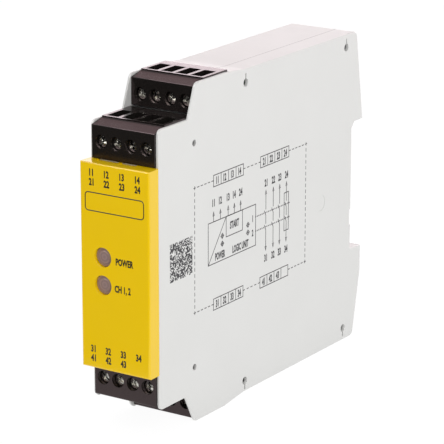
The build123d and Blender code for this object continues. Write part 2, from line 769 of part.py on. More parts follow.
def make_cage(row, x):
    """Builds one clamp cage: a band round the wire, threaded at its front."""
    axis = row.screw_height()
    shift = row.shift
    half = CAGE_WIDTH / 2
    with BuildPart() as cage:
        with BuildSketch(level_plane(axis - CAGE_HEIGHT / 2)):
            span((x - half, shift + CAGE_FRONT), (x + half, shift + CAGE_BACK))
            span(
                (x - half + CAGE_SIDE_WALL, shift + CAGE_FRONT + CAGE_THREAD_WALL),
                (x + half - CAGE_SIDE_WALL, shift + CAGE_BACK - CAGE_REAR_WALL),
                Mode.SUBTRACT,
            )
        extrude(amount=CAGE_HEIGHT)
        with BuildSketch(front_plane(shift + CAGE_FRONT)):
            with Locations((x, axis)):
                Circle(SHANK_RADIUS + SHANK_GAP)
        extrude(amount=-CAGE_THREAD_WALL, mode=Mode.SUBTRACT)
        if row.below:
            mirror(about=Plane.XY, mode=Mode.REPLACE)
    return cage


def make_contacts(row):
    """Builds the four bars on which the cages press the wires."""
    axis = row.screw_height()
    shift = row.shift
    with BuildPart() as contacts:
        for x in POLE_X:
            with BuildSketch(level_plane(axis + BAR_BOTTOM)):
                span(
                    (x - BAR_WIDTH / 2, shift + BAR_FRONT),
                    (x + BAR_WIDTH / 2, shift + BAR_FRONT + BAR_THICK),
                )
            extrude(amount=BAR_TOP - BAR_BOTTOM)
            with BuildSketch(level_plane(axis + BAR_BOTTOM)):
                span(
                    (x - TAIL_WIDTH / 2, shift + BAR_FRONT),
                    (x + TAIL_WIDTH / 2, shift + TAIL_END),
                )
            extrude(amount=TAIL_THICK)
        if row.below:
            mirror(about=Plane.XY, mode=Mode.REPLACE)
    return contacts


def make_pins(row):
    """Builds the four angled header pins, stepped so that they pass each other."""
    height = row.pin_height()
    tip = row.shift + PIN_TIP
    board_face = BOARD_BACK_X + BOARD_THICK
    with BuildPart() as pins:
        for index, x in enumerate(POLE_X):
            bend = row.bay_back + PIN_FIRST_LEG + index * PIN_STAGGER
            with BuildSketch(level_plane(height - PIN_THICK / 2)):
                span((x - PIN_WIDTH / 2, tip), (x + PIN_WIDTH / 2, bend + PIN_WIDTH))
                span((board_face, bend), (x, bend + PIN_WIDTH))
            extrude(amount=PIN_THICK)
        if row.below:
            mirror(about=Plane.XY, mode=Mode.REPLACE)
    return pins


# Circuit board and what stands on it

def make_main_board():
    """Builds the circuit board, notched round the posts of the base."""
    with BuildPart() as board:
        with BuildSketch(side_plane(BOARD_BACK_X)):
            margin = OUTER_WALL + BOARD_CLEARANCE
            waist_height = UPPER_REAR.floor - margin
            span((BOARD_FRONT, -BOARD_NOSE_HEIGHT), (BOARD_REAR, BOARD_NOSE_HEIGHT))
            span((BAY_BACK_FRONT + margin, -waist_height), (BOARD_REAR, waist_height))
            span((BAY_BACK_REAR + margin, -BOARD_HEIGHT), (BOARD_REAR, BOARD_HEIGHT))
            with Locations(*KEYHOLES):
                Circle(POST_RADIUS + POST_GAP, mode=Mode.SUBTRACT)
        extrude(amount=BOARD_THICK)
    return board


def make_relay(height):
    """Builds a safety relay: its case and the base that it is cast into."""
    face = BOARD_BACK_X + BOARD_THICK
    with BuildPart() as relay:
        with BuildSketch(side_plane(face)):
            with Locations((RELAY_DEPTH, height)):
                Rectangle(RELAY_LENGTH, RELAY_HEIGHT)
        extrude(amount=RELAY_THICK)
        fillet(relay.edges().filter_by(Axis.X), CASE_ROUND)
        fillet(relay.faces().sort_by(Axis.X)[-1].edges(), CASE_EDGE)
        with BuildSketch(side_plane(face)):
            with Locations((RELAY_DEPTH, height)):
                RectangleRounded(
                    RELAY_LENGTH + 2 * RELAY_BASE_LIP,
                    RELAY_HEIGHT + 2 * RELAY_BASE_LIP,
                    CASE_ROUND,
                )
        extrude(amount=RELAY_BASE_THICK)
    return relay


def make_capacitor(places, radius, height):
    """Builds electrolytic capacitors that stand on the board, with a crimp ring."""
    face = BOARD_BACK_X + BOARD_THICK
    with BuildPart() as capacitors:
        with BuildSketch(side_plane(face)):
            with Locations(*places):
                Circle(radius)
        extrude(amount=height)
        with BuildSketch(side_plane(face + CRIMP_PLACE)):
            with Locations(*places):
                Circle(radius + OVERCUT)
                Circle(radius - CRIMP_DEPTH, mode=Mode.SUBTRACT)
        extrude(amount=CRIMP_WIDTH, mode=Mode.SUBTRACT)
    return capacitors


def make_control_chip():
    """Builds the control chip with its two rows of legs."""
    face = BOARD_BACK_X + BOARD_THICK
    depth, height = CHIP_PLACE
    reach = CHIP_SIZE / 2 + CHIP_LEG_REACH
    with BuildPart() as chip:
        with BuildSketch(side_plane(face + CHIP_STAND)):
            with Locations(CHIP_PLACE):
                Rectangle(CHIP_SIZE, CHIP_SIZE)
        extrude(amount=CHIP_THICK)
        with BuildSketch(side_plane(face)):
            for side in (-1, 1):
                with Locations((depth, height + side * (reach + CHIP_SIZE / 2) / 2)):
                    with GridLocations(CHIP_LEG_PITCH, 0, CHIP_LEG_COUNT, 1):
                        Rectangle(CHIP_LEG_WIDTH, CHIP_LEG_REACH)
        extrude(amount=CHIP_THICK / 2 + CHIP_STAND)
    return chip


def make_status_leds():
    """Builds the two indicator lamps on their holders, facing the light guides."""
    face = BOARD_BACK_X + BOARD_THICK
    with BuildPart() as leds:
        for height in WINDOW_HEIGHTS.values():
            with BuildSketch(front_plane(LED_TIP)):
                with Locations((WINDOW_X, height)):
                    Circle(LED_RADIUS)
            extrude(amount=-LED_LENGTH)
            with BuildSketch(front_plane(LED_TIP + LED_LENGTH)):
                span(
                    (face, height - LED_RADIUS),
                    (WINDOW_X + LED_RADIUS, height + LED_RADIUS),
                )
            extrude(amount=-LED_BASE_LENGTH)
        fillet(leds.faces().filter_by(Axis.Y).group_by(Axis.Y)[0].edges(), LED_DOME)
    return leds


# Rail foot and its spring

def make_rail_foot():
    """Builds the sprung foot: its guided plate, window, slot and latch nose."""
    with BuildPart() as foot:
        with BuildSketch(level_plane(FOOT_BOTTOM)):
            span((-FOOT_HALF_WIDTH, FOOT_FRONT), (FOOT_HALF_WIDTH, FOOT_BACK))
            span(
                (-FOOT_FLANGE_HALF_WIDTH, FOOT_FRONT),
                (FOOT_FLANGE_HALF_WIDTH, FOOT_FLANGE_BACK),
            )
        extrude(amount=FOOT_FLANGE_TOP - FOOT_BOTTOM)
        with BuildSketch(side_plane(-FOOT_HALF_WIDTH)):
            shoulder_front = SEAT_DEPTH + FOOT_GAP
            draw_outline([
                (shoulder_front, FOOT_FLANGE_TOP, 0),
                (shoulder_front, FOOT_SHOULDER, 0),
                (FOOT_NOSE_FRONT, FOOT_SHOULDER, 0),
                (FOOT_NOSE_FRONT, FOOT_NOSE_TOP, 0),
                (FOOT_NOSE_FRONT + FOOT_NOSE_TIP, FOOT_NOSE_TOP, 0),
                (FOOT_NOSE_BACK, FOOT_SHOULDER, 0),
                (FOOT_NOSE_BACK, FOOT_NOSE_BOTTOM, 0),
                (FOOT_BACK, FOOT_NOSE_FOOT, 0),
                (shoulder_front, FOOT_NOSE_FOOT, 0),
            ])
        extrude(amount=2 * FOOT_HALF_WIDTH)

        # Window for the spring and the stop of the housing
        window_bottom = SPRING_STOP_TOP - SPRING_STOP_HEIGHT - FOOT_GAP
        with BuildSketch(front_plane(FOOT_FRONT)):
            span(
                (-SPRING_WINDOW_HALF_WIDTH, window_bottom),
                (SPRING_WINDOW_HALF_WIDTH, SPRING_WINDOW_TOP),
            )
        extrude(amount=FOOT_FRONT - DEPTH, mode=Mode.SUBTRACT)

        # Slot for a screwdriver
        with BuildSketch(front_plane(FOOT_FRONT)):
            with Locations((0, FOOT_BOTTOM + DRIVER_SLOT_RISE)):
                Rectangle(DRIVER_SLOT_WIDTH, DRIVER_SLOT_HEIGHT)
        extrude(amount=FOOT_FRONT - DEPTH, mode=Mode.SUBTRACT)
    return foot


def make_foot_spring():
    """Builds the coil spring between the housing's stop and the foot."""
    bottom = SPRING_STOP_TOP + SPRING_END_GAP + SPRING_WIRE
    top = SPRING_WINDOW_TOP - SPRING_END_GAP - SPRING_WIRE
    depth = (FOOT_FRONT + FOOT_BACK) / 2 - SEAT_DEPTH
    with BuildPart() as spring:
        with BuildLine() as coil:
            Helix(
                pitch=(top - bottom) / SPRING_COILS,
                height=top - bottom,
                radius=SPRING_RADIUS,
                center=(0, depth, bottom),
            )
        with BuildSketch(Plane(origin=coil.line @ 0, z_dir=coil.line % 0)):
            Circle(SPRING_WIRE)
        sweep(path=coil.line, is_frenet=True)
    return spring


def write(piece, name):
    """Labels a finished piece and writes it to its own file."""
    piece.part.label = name
    export_step(piece.part, f"parts/{name}.step")


os.makedirs("parts", exist_ok=True)
write(make_housing_base(), "housing_base")
write(make_side_cover(), "side_cover")
write(make_front_cover(), "front_cover")
for place, window_height in WINDOW_HEIGHTS.items():
    write(make_status_window(window_height), f"status_window_{place}")
for row in ROWS:
    write(make_terminal(row), f"{row.name}_terminal")
    write(make_contacts(row), f"{row.name}_contacts")
    write(make_pins(row), f"{row.name}_pins")
    for number, x in enumerate(POLE_X, start=1):
        write(make_screw(row, x), f"{row.name}_screw_{number}")
        write(make_cage(row, x), f"{row.name}_cage_{number}")
write(make_main_board(), "main_board")
for relay, relay_height in RELAY_HEIGHTS.items():
    write(make_relay(relay_height), f"relay_{relay}")
write(
    make_capacitor([SUPPLY_CAPACITOR], SUPPLY_CAPACITOR_RADIUS, SUPPLY_CAPACITOR_HEIGHT),
    "supply_capacitor",
)
write(
    make_capacitor(SMALL_CAPACITORS, SMALL_CAPACITOR_RADIUS, SMALL_CAPACITOR_HEIGHT),
    "small_capacitors",
)
write(make_control_chip(), "control_chip")
write(make_status_leds(), "status_leds")
write(make_rail_foot(), "rail_foot")
write(make_foot_spring(), "foot_spring")
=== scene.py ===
"""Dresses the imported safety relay: finishes, print, screws, light guides and studio.

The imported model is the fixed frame, in metres, with X across the width, Y from
the front to the rear and Z up. Sizes of the pieces made here are in millimetres
until they are placed.
"""

import logging
import math
from dataclasses import dataclass, field
from enum import Enum
from functools import cache, cached_property
from typing import Any, Iterable

import bmesh
import bpy
from bpy.types import (
    ID, GeometryNodeTree, Material, Mesh, Node, NodeSocket, NodeTree, Object, World,
)
from mathutils import Matrix, Vector


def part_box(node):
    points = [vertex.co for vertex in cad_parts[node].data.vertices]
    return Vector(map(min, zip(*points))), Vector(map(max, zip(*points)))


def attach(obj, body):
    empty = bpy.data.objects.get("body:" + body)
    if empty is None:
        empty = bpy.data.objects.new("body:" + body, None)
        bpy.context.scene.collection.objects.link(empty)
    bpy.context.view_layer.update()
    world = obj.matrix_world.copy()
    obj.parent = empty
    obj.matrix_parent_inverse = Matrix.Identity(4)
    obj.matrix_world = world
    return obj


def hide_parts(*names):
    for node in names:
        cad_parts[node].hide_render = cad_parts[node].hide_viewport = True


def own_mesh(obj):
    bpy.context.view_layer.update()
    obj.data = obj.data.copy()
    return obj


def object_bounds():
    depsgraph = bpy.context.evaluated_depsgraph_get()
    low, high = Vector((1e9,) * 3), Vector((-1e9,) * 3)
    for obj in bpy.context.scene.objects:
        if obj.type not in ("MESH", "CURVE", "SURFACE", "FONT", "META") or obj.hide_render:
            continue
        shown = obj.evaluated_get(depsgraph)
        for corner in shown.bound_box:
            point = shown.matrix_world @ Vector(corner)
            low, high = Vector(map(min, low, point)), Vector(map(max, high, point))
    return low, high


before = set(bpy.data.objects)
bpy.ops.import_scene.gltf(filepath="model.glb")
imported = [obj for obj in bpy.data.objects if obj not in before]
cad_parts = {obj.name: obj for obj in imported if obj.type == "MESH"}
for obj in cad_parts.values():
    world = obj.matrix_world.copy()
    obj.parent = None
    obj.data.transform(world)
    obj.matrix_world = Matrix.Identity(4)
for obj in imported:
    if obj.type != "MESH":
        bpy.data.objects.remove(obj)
CAD_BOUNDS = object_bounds()

LOG = logging.getLogger("safety_relay")
MM = 0.001

# Socket places of the Mix node when it mixes colours
MIX_FACTOR = 0
MIX_FIRST = 6
MIX_SECOND = 7
MIX_RESULT = 2

# Socket place of the Random Value node when it says yes or no
RANDOM_CHOICE = 3

# Scale at which the Wave node draws about one band in a unit of length
WAVE_SCALE = 0.31

# Attribute that holds a point's distance from the axis of a turned piece
REACH = "reach"

# Terminals of a row, and what is printed for each row from the top down
POLES = 4
TERMINALS = (
    ("11", "12", "13", "14"),
    ("21", "22", "23", "24"),
    ("31", "32", "33", "34"),
    ("41", "42", "43"),
)

Point = tuple[float, float]
Place = tuple[float, float, float]


def linear(code: str) -> tuple[float, float, float, float]:
    """Turns an sRGB hex colour such as "D2D2CF" into a linear one with an alpha of 1."""
    levels = [int(code[i:i + 2], 16) / 255 for i in (0, 2, 4)]
    values = [v / 12.92 if v <= 0.04045 else ((v + 0.055) / 1.055) ** 2.4 for v in levels]
    return (values[0], values[1], values[2], 1.0)


def feed(tree: NodeTree, entry: NodeSocket, item: Any) -> None:
    """Links a socket or a node's first output to an input, or sets the input's value."""
    if isinstance(item, Node):
        item = item.outputs[0]
    if isinstance(item, NodeSocket):
        tree.links.new(item, entry)
    else:
        entry.default_value = item


def add_node(
    tree: NodeTree, kind: str, inputs: dict[str | int, Any] | None = None, **settings: Any
) -> Node:
    """Adds a node, sets its properties and feeds its inputs.

    Args:
        tree: Tree that gets the node.
        kind: Blender's type name of the node.
        inputs: Value, socket or node for each input, by name or place. A list
            holds several for one input.
        settings: Properties of the node itself.

    Returns:
        The new node.
    """
    node = tree.nodes.new(kind)
    for name, value in settings.items():
        setattr(node, name, value)
    for key, value in (inputs or {}).items():
        for item in value if isinstance(value, list) else [value]:
            feed(tree, node.inputs[key], item)
    return node


def calculate(tree: NodeTree, operation: str, *values: Any) -> Node:
    """Adds a Math node that works on numbers, sockets or nodes."""
    return add_node(tree, "ShaderNodeMath", dict(enumerate(values)), operation=operation)


def empty_tree(block: Material | World) -> NodeTree:
    """Returns the emptied shader tree of a material or a world."""
    block.use_nodes = True
    block.node_tree.nodes.clear()
    return block.node_tree


# Finishes


class Painter:
    """Lays out one material round a single Principled shader."""

    def __init__(self, name: str, **inputs: Any) -> None:
        """Starts the material.

        Args:
            name: Name of the material.
            inputs: Shader values that are the same all over the surface, with
                an underscore for each space in their names.
        """
        self.material = bpy.data.materials.new(name)
        self.tree = empty_tree(self.material)
        self.shader = add_node(self.tree, "ShaderNodeBsdfPrincipled")
        add_node(self.tree, "ShaderNodeOutputMaterial", {"Surface": self.shader})
        for label, value in inputs.items():
            self.feed(label.replace("_", " "), value)

    @cached_property
    def place(self) -> NodeSocket:
        """Place on the object in metres."""
        return add_node(self.tree, "ShaderNodeTexCoord").outputs["Object"]

    @cached_property
    def reach(self) -> NodeSocket:
        """Distance from the axis of a turned piece in metres."""
        return add_node(self.tree, "ShaderNodeAttribute", attribute_name=REACH).outputs["Fac"]

    def feed(self, name: str, source: Any) -> None:
        """Feeds an input of the shader."""
        feed(self.tree, self.shader.inputs[name], source)

    def noise(self, patch: float, detail: float = 2.0, place: Any = None) -> Node:
        """Adds noise from 0 to 1.

        Args:
            patch: Size of its patches in millimetres.
            detail: How many finer layers it has.
            place: Node of the place, if it isn't the place on the object.

        Returns:
            The node of the noise.
        """
        return add_node(self.tree, "ShaderNodeTexNoise", {
            "Vector": place or self.place, "Scale": 1 / (patch * MM), "Detail": detail,
        })

    def tint(self, share: Any, first: str | NodeSocket, second: str) -> NodeSocket:
        """Gives the surface a mix of two colours, with a share of the second."""
        colour = add_node(self.tree, "ShaderNodeMix", {
            MIX_FACTOR: share,
            MIX_FIRST: linear(first) if isinstance(first, str) else first,
            MIX_SECOND: linear(second),
        }, data_type="RGBA").outputs[MIX_RESULT]
        self.feed("Base Color", colour)
        return colour

    def gloss(self, noise: Node, middle: float, spread: float) -> None:
        """Lets the roughness wander round its middle with a noise."""
        self.feed("Roughness", add_node(self.tree, "ShaderNodeMapRange", {
            "Value": noise, "To Min": middle - spread, "To Max": middle + spread,
        }))

    def relief(self, height: Node, depth: float) -> None:
        """Roughens the surface to a depth in millimetres."""
        self.feed("Normal", add_node(self.tree, "ShaderNodeBump", {
            "Height": height, "Distance": depth * MM,
        }))


@dataclass(frozen=True)
class MouldedPlastic:
    """Injection-moulded polyamide or like plastic with a spark-eroded skin.

    The eye gets an even colour with faint flow clouds, a satin gloss that
    wanders a little, and a fine grain. The real grain is about 0.05 mm and is
    drawn coarser here so that it shows. Where two shells meet at one place
    along X, a thin dark line is painted into the colour as the shadow inside
    the open joint between them.
    """

    name: str
    colour: str
    cloud: str
    roughness: float = 0.42
    roughness_spread: float = 0.06
    grain: float = 0.45
    relief: float = 0.006
    flow: float = 14.0
    specular: float = 0.5
    sheen: str = "FFFFFF"
    # Place along X of the joint between two shells, then the width, share and colour of the
    # painted shadow drawn along it
    seam: float = 0.0
    seam_width: float = 0.24
    seam_shadow_share: float = 0.55
    seam_shadow_colour: str = "2A2826"

    def build(self) -> Material:
        """Builds the material."""
        painter = Painter(
            self.name, IOR=1.53, Specular_IOR_Level=self.specular,
            Specular_Tint=linear(self.sheen),
        )
        tint = painter.tint(painter.noise(self.flow, 3.0), self.colour, self.cloud)
        painter.gloss(painter.noise(self.flow / 3, 4.0), self.roughness, self.roughness_spread)
        painter.relief(painter.noise(self.grain, 1.0), self.relief)
        # Painted shade: darkens a thin line at the joint's place along X to stand in for the
        # shadow inside the gap between the shells
        if self.seam:
            tree = painter.tree
            across = add_node(tree, "ShaderNodeSeparateXYZ", {"Vector": painter.place})
            joint = calculate(tree, "COMPARE", across, self.seam * MM, self.seam_width / 2 * MM)
            share = calculate(tree, "MULTIPLY", joint, self.seam_shadow_share)
            painter.tint(share, tint, self.seam_shadow_colour)
        return painter.material


@dataclass(frozen=True)
class PadPrint:
    """Pad-printed two-part ink, nearly black and a little thinner in places."""

    name: str
    colour: str
    thin_colour: str
    patch: float = 1.6

    def build(self) -> Material:
        """Builds the material."""
        painter = Painter(self.name, Roughness=0.55, IOR=1.5)
        painter.tint(painter.noise(self.patch), self.colour, self.thin_colour)
        return painter.material


@dataclass(frozen=True)
class SmokedLightGuide:
    """Smoke-tinted moulded polycarbonate, hazy, with rings from its turned mould."""

    name: str
    colour: str
    ring_colour: str
    ring: float = 0.9

    def build(self) -> Material:
        """Builds the material."""
        painter = Painter(self.name, Roughness=0.28, IOR=1.585, Transmission_Weight=0.12)
        tree = painter.tree
        wave = calculate(tree, "MULTIPLY", painter.reach, 2 * math.pi / (self.ring * MM))
        swing = calculate(tree, "SINE", wave)
        share = calculate(tree, "MULTIPLY_ADD", swing, 0.5, 0.5)
        painter.tint(share, self.colour, self.ring_colour)
        return painter.material


@dataclass(frozen=True)
class TurnedZinc:
    """Zinc-plated turned steel: silvery with rings left by the tool."""

    name: str
    colour: str
    dull_colour: str
    roughness: float = 0.25
    roughness_spread: float = 0.09
    mark: float = 0.16
    relief: float = 0.004
    stain: float = 0.8

    def build(self) -> Material:
        """Builds the material."""
        painter = Painter(self.name, Metallic=1.0)
        stain = painter.noise(self.stain, 3.0)
        painter.tint(stain, self.colour, self.dull_colour)
        painter.gloss(stain, self.roughness, self.roughness_spread)
        marks = add_node(painter.tree, "ShaderNodeTexNoise", {
            "W": painter.reach, "Scale": 1 / (self.mark * MM), "Detail": 2.0,
        }, noise_dimensions="1D")
        painter.relief(marks, self.relief)
        return painter.material


@dataclass(frozen=True)
class PlatedStrip:
    """Stamped and plated metal strip or wire: drawn streaks and soft stains."""

    name: str
    colour: str
    dull_colour: str
    roughness: float = 0.3
    roughness_spread: float = 0.08
    streak: float = 0.12
    stretch: float = 0.08
    stain: float = 1.5

    def build(self) -> Material:
        """Builds the material."""
        painter = Painter(self.name, Metallic=1.0)
        painter.tint(painter.noise(self.stain, 3.0), self.colour, self.dull_colour)
        drawn = add_node(painter.tree, "ShaderNodeMapping", {
            "Vector": painter.place, "Scale": (1.0, self.stretch, 1.0),
        })
        streaks = painter.noise(self.streak, place=drawn)
        painter.gloss(streaks, self.roughness, self.roughness_spread)
        return painter.material


@dataclass(frozen=True)
class GlassLaminate:
    """Glass-epoxy board under green solder mask, with the weave just showing."""

    name: str
    colour: str
    thread_colour: str
    threads_per_metre: float = 2000.0

    def build(self) -> Material:
        """Builds the material."""
        painter = Painter(self.name, Roughness=0.3, IOR=1.55)
        scale = self.threads_per_metre * WAVE_SCALE
        weave = [
            add_node(painter.tree, "ShaderNodeTexWave", {
                "Vector": painter.place, "Scale": scale,
            }, bands_direction=direction).outputs["Fac"]
            for direction in ("Y", "Z")
        ]
        cloth = calculate(painter.tree, "MULTIPLY", *weave)
        painter.tint(cloth, self.colour, self.thread_colour)
        return painter.material


@dataclass(frozen=True)
class DiffusedEpoxy:
    """Cast lamp epoxy with diffuser: tinted, cloudy and glossy."""

    name: str
    colour: str
    cloud: str
    haze: float = 1.2

    def build(self) -> Material:
        """Builds the material."""
        painter = Painter(self.name, Roughness=0.12, IOR=1.54, Transmission_Weight=0.3)
        painter.tint(painter.noise(self.haze), self.colour, self.cloud)
        return painter.material


class Surface(Enum):
    """The finishes of this relay, by material slot, and those of the two inks."""

    # The housing's finish paints the shadow of its shell joint as a dark line at X = 4.5 mm
    HOUSING_POLYAMIDE = MouldedPlastic(
        "Moulded_polyamide_light_grey", "D6D6D4", "D2D2D0", specular=0.42, seam=4.5
    )
    COVER_POLYAMIDE = MouldedPlastic(
        "Moulded_polyamide_signal_yellow", "EDC500", "E9C100", 0.17, 0.03, specular=0.38
    )
    TERMINAL_POLYAMIDE = MouldedPlastic(
        "Moulded_polyamide_black", "191816", "1D1B19", 0.24, 0.05, 0.5, 0.008, sheen="FFDDE2"
    )
    FOOT_POLYAMIDE = MouldedPlastic("Moulded_polyamide_black_foot", "201E1E", "262323", 0.45)
    RELAY_CASE = MouldedPlastic("Moulded_polyester_dark_grey", "616469", "5B5E63", 0.35)
    CAPACITOR_SLEEVE = MouldedPlastic("Shrunk_vinyl_sleeve_black", "17171B", "1E1E24", 0.3)
    CHIP_RESIN = MouldedPlastic("Moulded_epoxy_resin_black", "1A1A1A", "212121", 0.6)
    WINDOW_POLYCARBONATE = SmokedLightGuide("Smoked_polycarbonate", "A48A86", "8E7673")
    SCREW_ZINC = TurnedZinc("Turned_steel_zinc_plated", "D8D6D0", "B9B6AE")
    CAGE_STEEL = PlatedStrip("Stamped_steel_zinc_plated", "C6C4BE", "A6A39B")
    SPRING_STEEL = PlatedStrip("Spring_steel_wire", "A9A9A8", "8C8A86", 0.26)
    CONTACT_COPPER = PlatedStrip("Stamped_copper_tinned", "C9B79A", "A8906E")
    PIN_TIN = PlatedStrip("Drawn_pin_tinned", "CFCFCB", "B4B3AE", 0.24)
    BOARD_LAMINATE = GlassLaminate("Glass_epoxy_green_mask", "0F4A2A", "1B6038")
    LAMP_EPOXY = DiffusedEpoxy("Diffused_epoxy_green", "6FB58A", "88C79E")
    BLACK_INK = PadPrint("Pad_print_black_on_yellow", "1C1704", "2A2308")
    GREY_INK = PadPrint("Pad_print_grey_on_housing", "1C1C20", "2A2A2E")


@cache
def finish(surface: Surface) -> Material:
    """Returns the material of a finish, built on its first use."""
    return surface.value.build()


# Meshes


def add_object(name: str, data: ID) -> Object:
    """Adds an object with the given data to the scene."""
    made = bpy.data.objects.new(name, data)
    bpy.context.scene.collection.objects.link(made)
    return made


def bake(host: Object) -> Mesh:
    """Returns what an object looks like as a plain mesh and removes the object."""
    graph = bpy.context.evaluated_depsgraph_get()
    mesh = bpy.data.meshes.new_from_object(
        host.evaluated_get(graph), preserve_all_data_layers=True, depsgraph=graph
    )
    bpy.data.objects.remove(host)
    return mesh


def edge_mesh(name: str, runs: Iterable[list[Point]]) -> Mesh:
    """Makes a mesh of edges in metres from runs of points in millimetres.

    A closed run repeats its first point.
    """
    points, edges = [], []
    for run in runs:
        closed = len(run) > 2 and run[0] == run[-1]
        first = len(points)
        unique = run[:-1] if closed else run
        points += [(u * MM, v * MM, 0.0) for u, v in unique]
        edges += [(first + i, first + i + 1) for i in range(len(unique) - 1)]
        if closed:
            edges.append((len(points) - 1, first))
    mesh = bpy.data.meshes.new(name)
    mesh.from_pydata(points, edges, [])
    return mesh


def revolve(name: str, profile: list[Point], segments: int) -> Mesh:
    """Turns a profile round local Z into a closed mesh.

    Args:
        name: Name of the mesh.
        profile: Radius and height of each corner in millimetres, from the axis
            at the top to the axis at the bottom.
        segments: Number of steps round the axis.

    Returns:
        The mesh in metres, with each point's distance from the axis stored.
    """
    shape = bmesh.new()
    rings = []
    for radius, height in profile:
        turns = [2 * math.pi * i / segments for i in range(segments if radius else 1)]
        rings.append([
            shape.verts.new((radius * MM * math.cos(t), radius * MM * math.sin(t), height * MM))
            for t in turns
        ])
    for upper, lower in zip(rings, rings[1:]):
        for i in range(segments):
            j = (i + 1) % segments
            corners = [upper[i % len(upper)], lower[i % len(lower)]]
            corners += [lower[j % len(lower)], upper[j % len(upper)]]
            shape.faces.new(list(dict.fromkeys(corners)))
    bmesh.ops.recalc_face_normals(shape, faces=shape.faces)
    mesh = bpy.data.meshes.new(name)
    shape.to_mesh(mesh)
    shape.free()
    reach = mesh.attributes.new(REACH, "FLOAT", "POINT")
    for vertex, item in zip(mesh.vertices, reach.data):
        item.value = math.hypot(vertex.co.x, vertex.co.y)
    return mesh


def run_tree(
    tree: GeometryNodeTree,
    surface: Surface,
    lengths: dict[str, float],
    others: dict[str, float] | None = None,
    source: Mesh | None = None,
) -> Mesh:
    """Runs a Geometry Nodes tree and returns its result as a plain mesh.

    Args:
        tree: Tree to run.
        surface: Finish of the result.
        lengths: Inputs that are lengths, in millimetres.
        others: Inputs that aren't lengths.
        source: Mesh that goes into the tree, which is removed.

    Returns:
        The mesh that the tree makes.
    """
    values = {name: length * MM for name, length in lengths.items()}
    values |= {"Material": finish(surface), **(others or {})}
    seed = source or bpy.data.meshes.new(tree.name)
    host = add_object(tree.name, seed)
    modifier = host.modifiers.new(tree.name, "NODES")
    modifier.node_group = tree
    for item in tree.interface.items_tree:
        if item.in_out == "INPUT" and item.name in values:
            modifier[item.identifier] = values[item.name]
    mesh = bake(host)
    bpy.data.meshes.remove(seed)
    return mesh


def turned_place(node: str) -> Matrix:
    """Returns the matrix that puts a turned piece at a node, facing the front."""
    low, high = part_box(node)
    middle = (low + high) / 2
    spot = Matrix.Translation((middle.x, low.y, middle.z))
    return spot @ Matrix.Rotation(math.radians(90), 4, "X")


def add_piece(
    name: str,
    mesh: Mesh,
    body: str,
    place: Matrix = Matrix.Identity(4),
    smooth_angle: float | None = None,
    replaces: Iterable[str] = (),
) -> Object:
    """Links a mesh as a piece, with its place put into its points.

    Args:
        name: Name of the piece.
        mesh: Finished mesh with its material.
        body: CAD body that the piece rides on.
        place: Where the mesh goes in the frame.
        smooth_angle: Edges flatter than this many degrees are shaded smooth.
        replaces: CAD nodes that the piece stands for.

    Returns:
        The piece.
    """
    mesh.transform(place)
    if smooth_angle is not None:
        mesh.shade_smooth()
        mesh.set_sharp_from_angle(angle=math.radians(smooth_angle))
    mesh.name = name
    piece = add_object(name, mesh)
    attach(piece, body)
    nodes = list(replaces)
    if nodes:
        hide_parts(*nodes)
    LOG.info("%s: %d faces on body %s", name, len(mesh.polygons), body)
    return piece


# Geometry Nodes trees


def open_tree(
    name: str, floats: Iterable[str], integers: Iterable[str] = (), mesh: bool = False
) -> tuple[GeometryNodeTree, dict[str, NodeSocket]]:
    """Starts a Geometry Nodes tree with named inputs, of which one is Material.

    Args:
        name: Name of the tree.
        floats: Names of the inputs that are lengths or shares.
        integers: Names of the inputs that are whole numbers.
        mesh: Whether a mesh goes in, as Geometry.

    Returns:
        The tree and the socket of each input inside it.
    """
    tree = bpy.data.node_groups.new(name, "GeometryNodeTree")
    kinds = {"Geometry": "NodeSocketGeometry"} if mesh else {}
    kinds |= dict.fromkeys(floats, "NodeSocketFloat")
    kinds |= dict.fromkeys(integers, "NodeSocketInt")
    kinds["Material"] = "NodeSocketMaterial"
    for label, kind in kinds.items():
        tree.interface.new_socket(name=label, in_out="INPUT", socket_type=kind)
    tree.interface.new_socket(
        name="Geometry", in_out="OUTPUT", socket_type="NodeSocketGeometry"
    )
    entry = add_node(tree, "NodeGroupInput")
    return tree, {label: entry.outputs[label] for label in kinds}


def close_tree(tree: GeometryNodeTree, made: Node, material: NodeSocket) -> GeometryNodeTree:
    """Ends a tree: realizes its instances, sets the material and returns it."""
    real = add_node(tree, "GeometryNodeRealizeInstances", {"Geometry": made})
    dressed = add_node(tree, "GeometryNodeSetMaterial", {
        "Geometry": real, "Material": material,
    })
    add_node(tree, "NodeGroupOutput", {"Geometry": dressed})
    return tree


def vector(tree: NodeTree, **axes: Any) -> Node:
    """Joins numbers, sockets or nodes, given for the axes X, Y and Z, to a vector."""
    return add_node(tree, "ShaderNodeCombineXYZ", axes)


def brick(tree: NodeTree, x: Any, y: Any, z: Any) -> Node:
    """Makes a block with the given sides."""
    return add_node(tree, "GeometryNodeMeshCube", {"Size": vector(tree, X=x, Y=y, Z=z)})


def sweep(tree: NodeTree, path: Node, section: Node) -> Node:
    """Sweeps a section along a path and closes the ends."""
    return add_node(tree, "GeometryNodeCurveToMesh", {
        "Curve": path, "Profile Curve": section, "Fill Caps": True,
    })


def wind(
    tree: NodeTree, turns: Any, radius: Any, height: Any, wire: Any, steps: int, sides: int
) -> Node:
    """Winds a coil of wire.

    Args:
        tree: Tree that gets the nodes.
        turns: Number of turns.
        radius: Radius of the coil along the middle of the wire.
        height: Height of the coil.
        wire: Radius of the wire.
        steps: Steps in a turn.
        sides: Sides of the wire's section.

    Returns:
        The node of the coil's mesh.
    """
    path = add_node(tree, "GeometryNodeCurveSpiral", {
        "Resolution": steps, "Rotations": turns, "Height": height,
        "Start Radius": radius, "End Radius": radius,
    })
    section = add_node(tree, "GeometryNodeCurvePrimitiveCircle", {
        "Resolution": sides, "Radius": wire,
    })
    return sweep(tree, path, section)


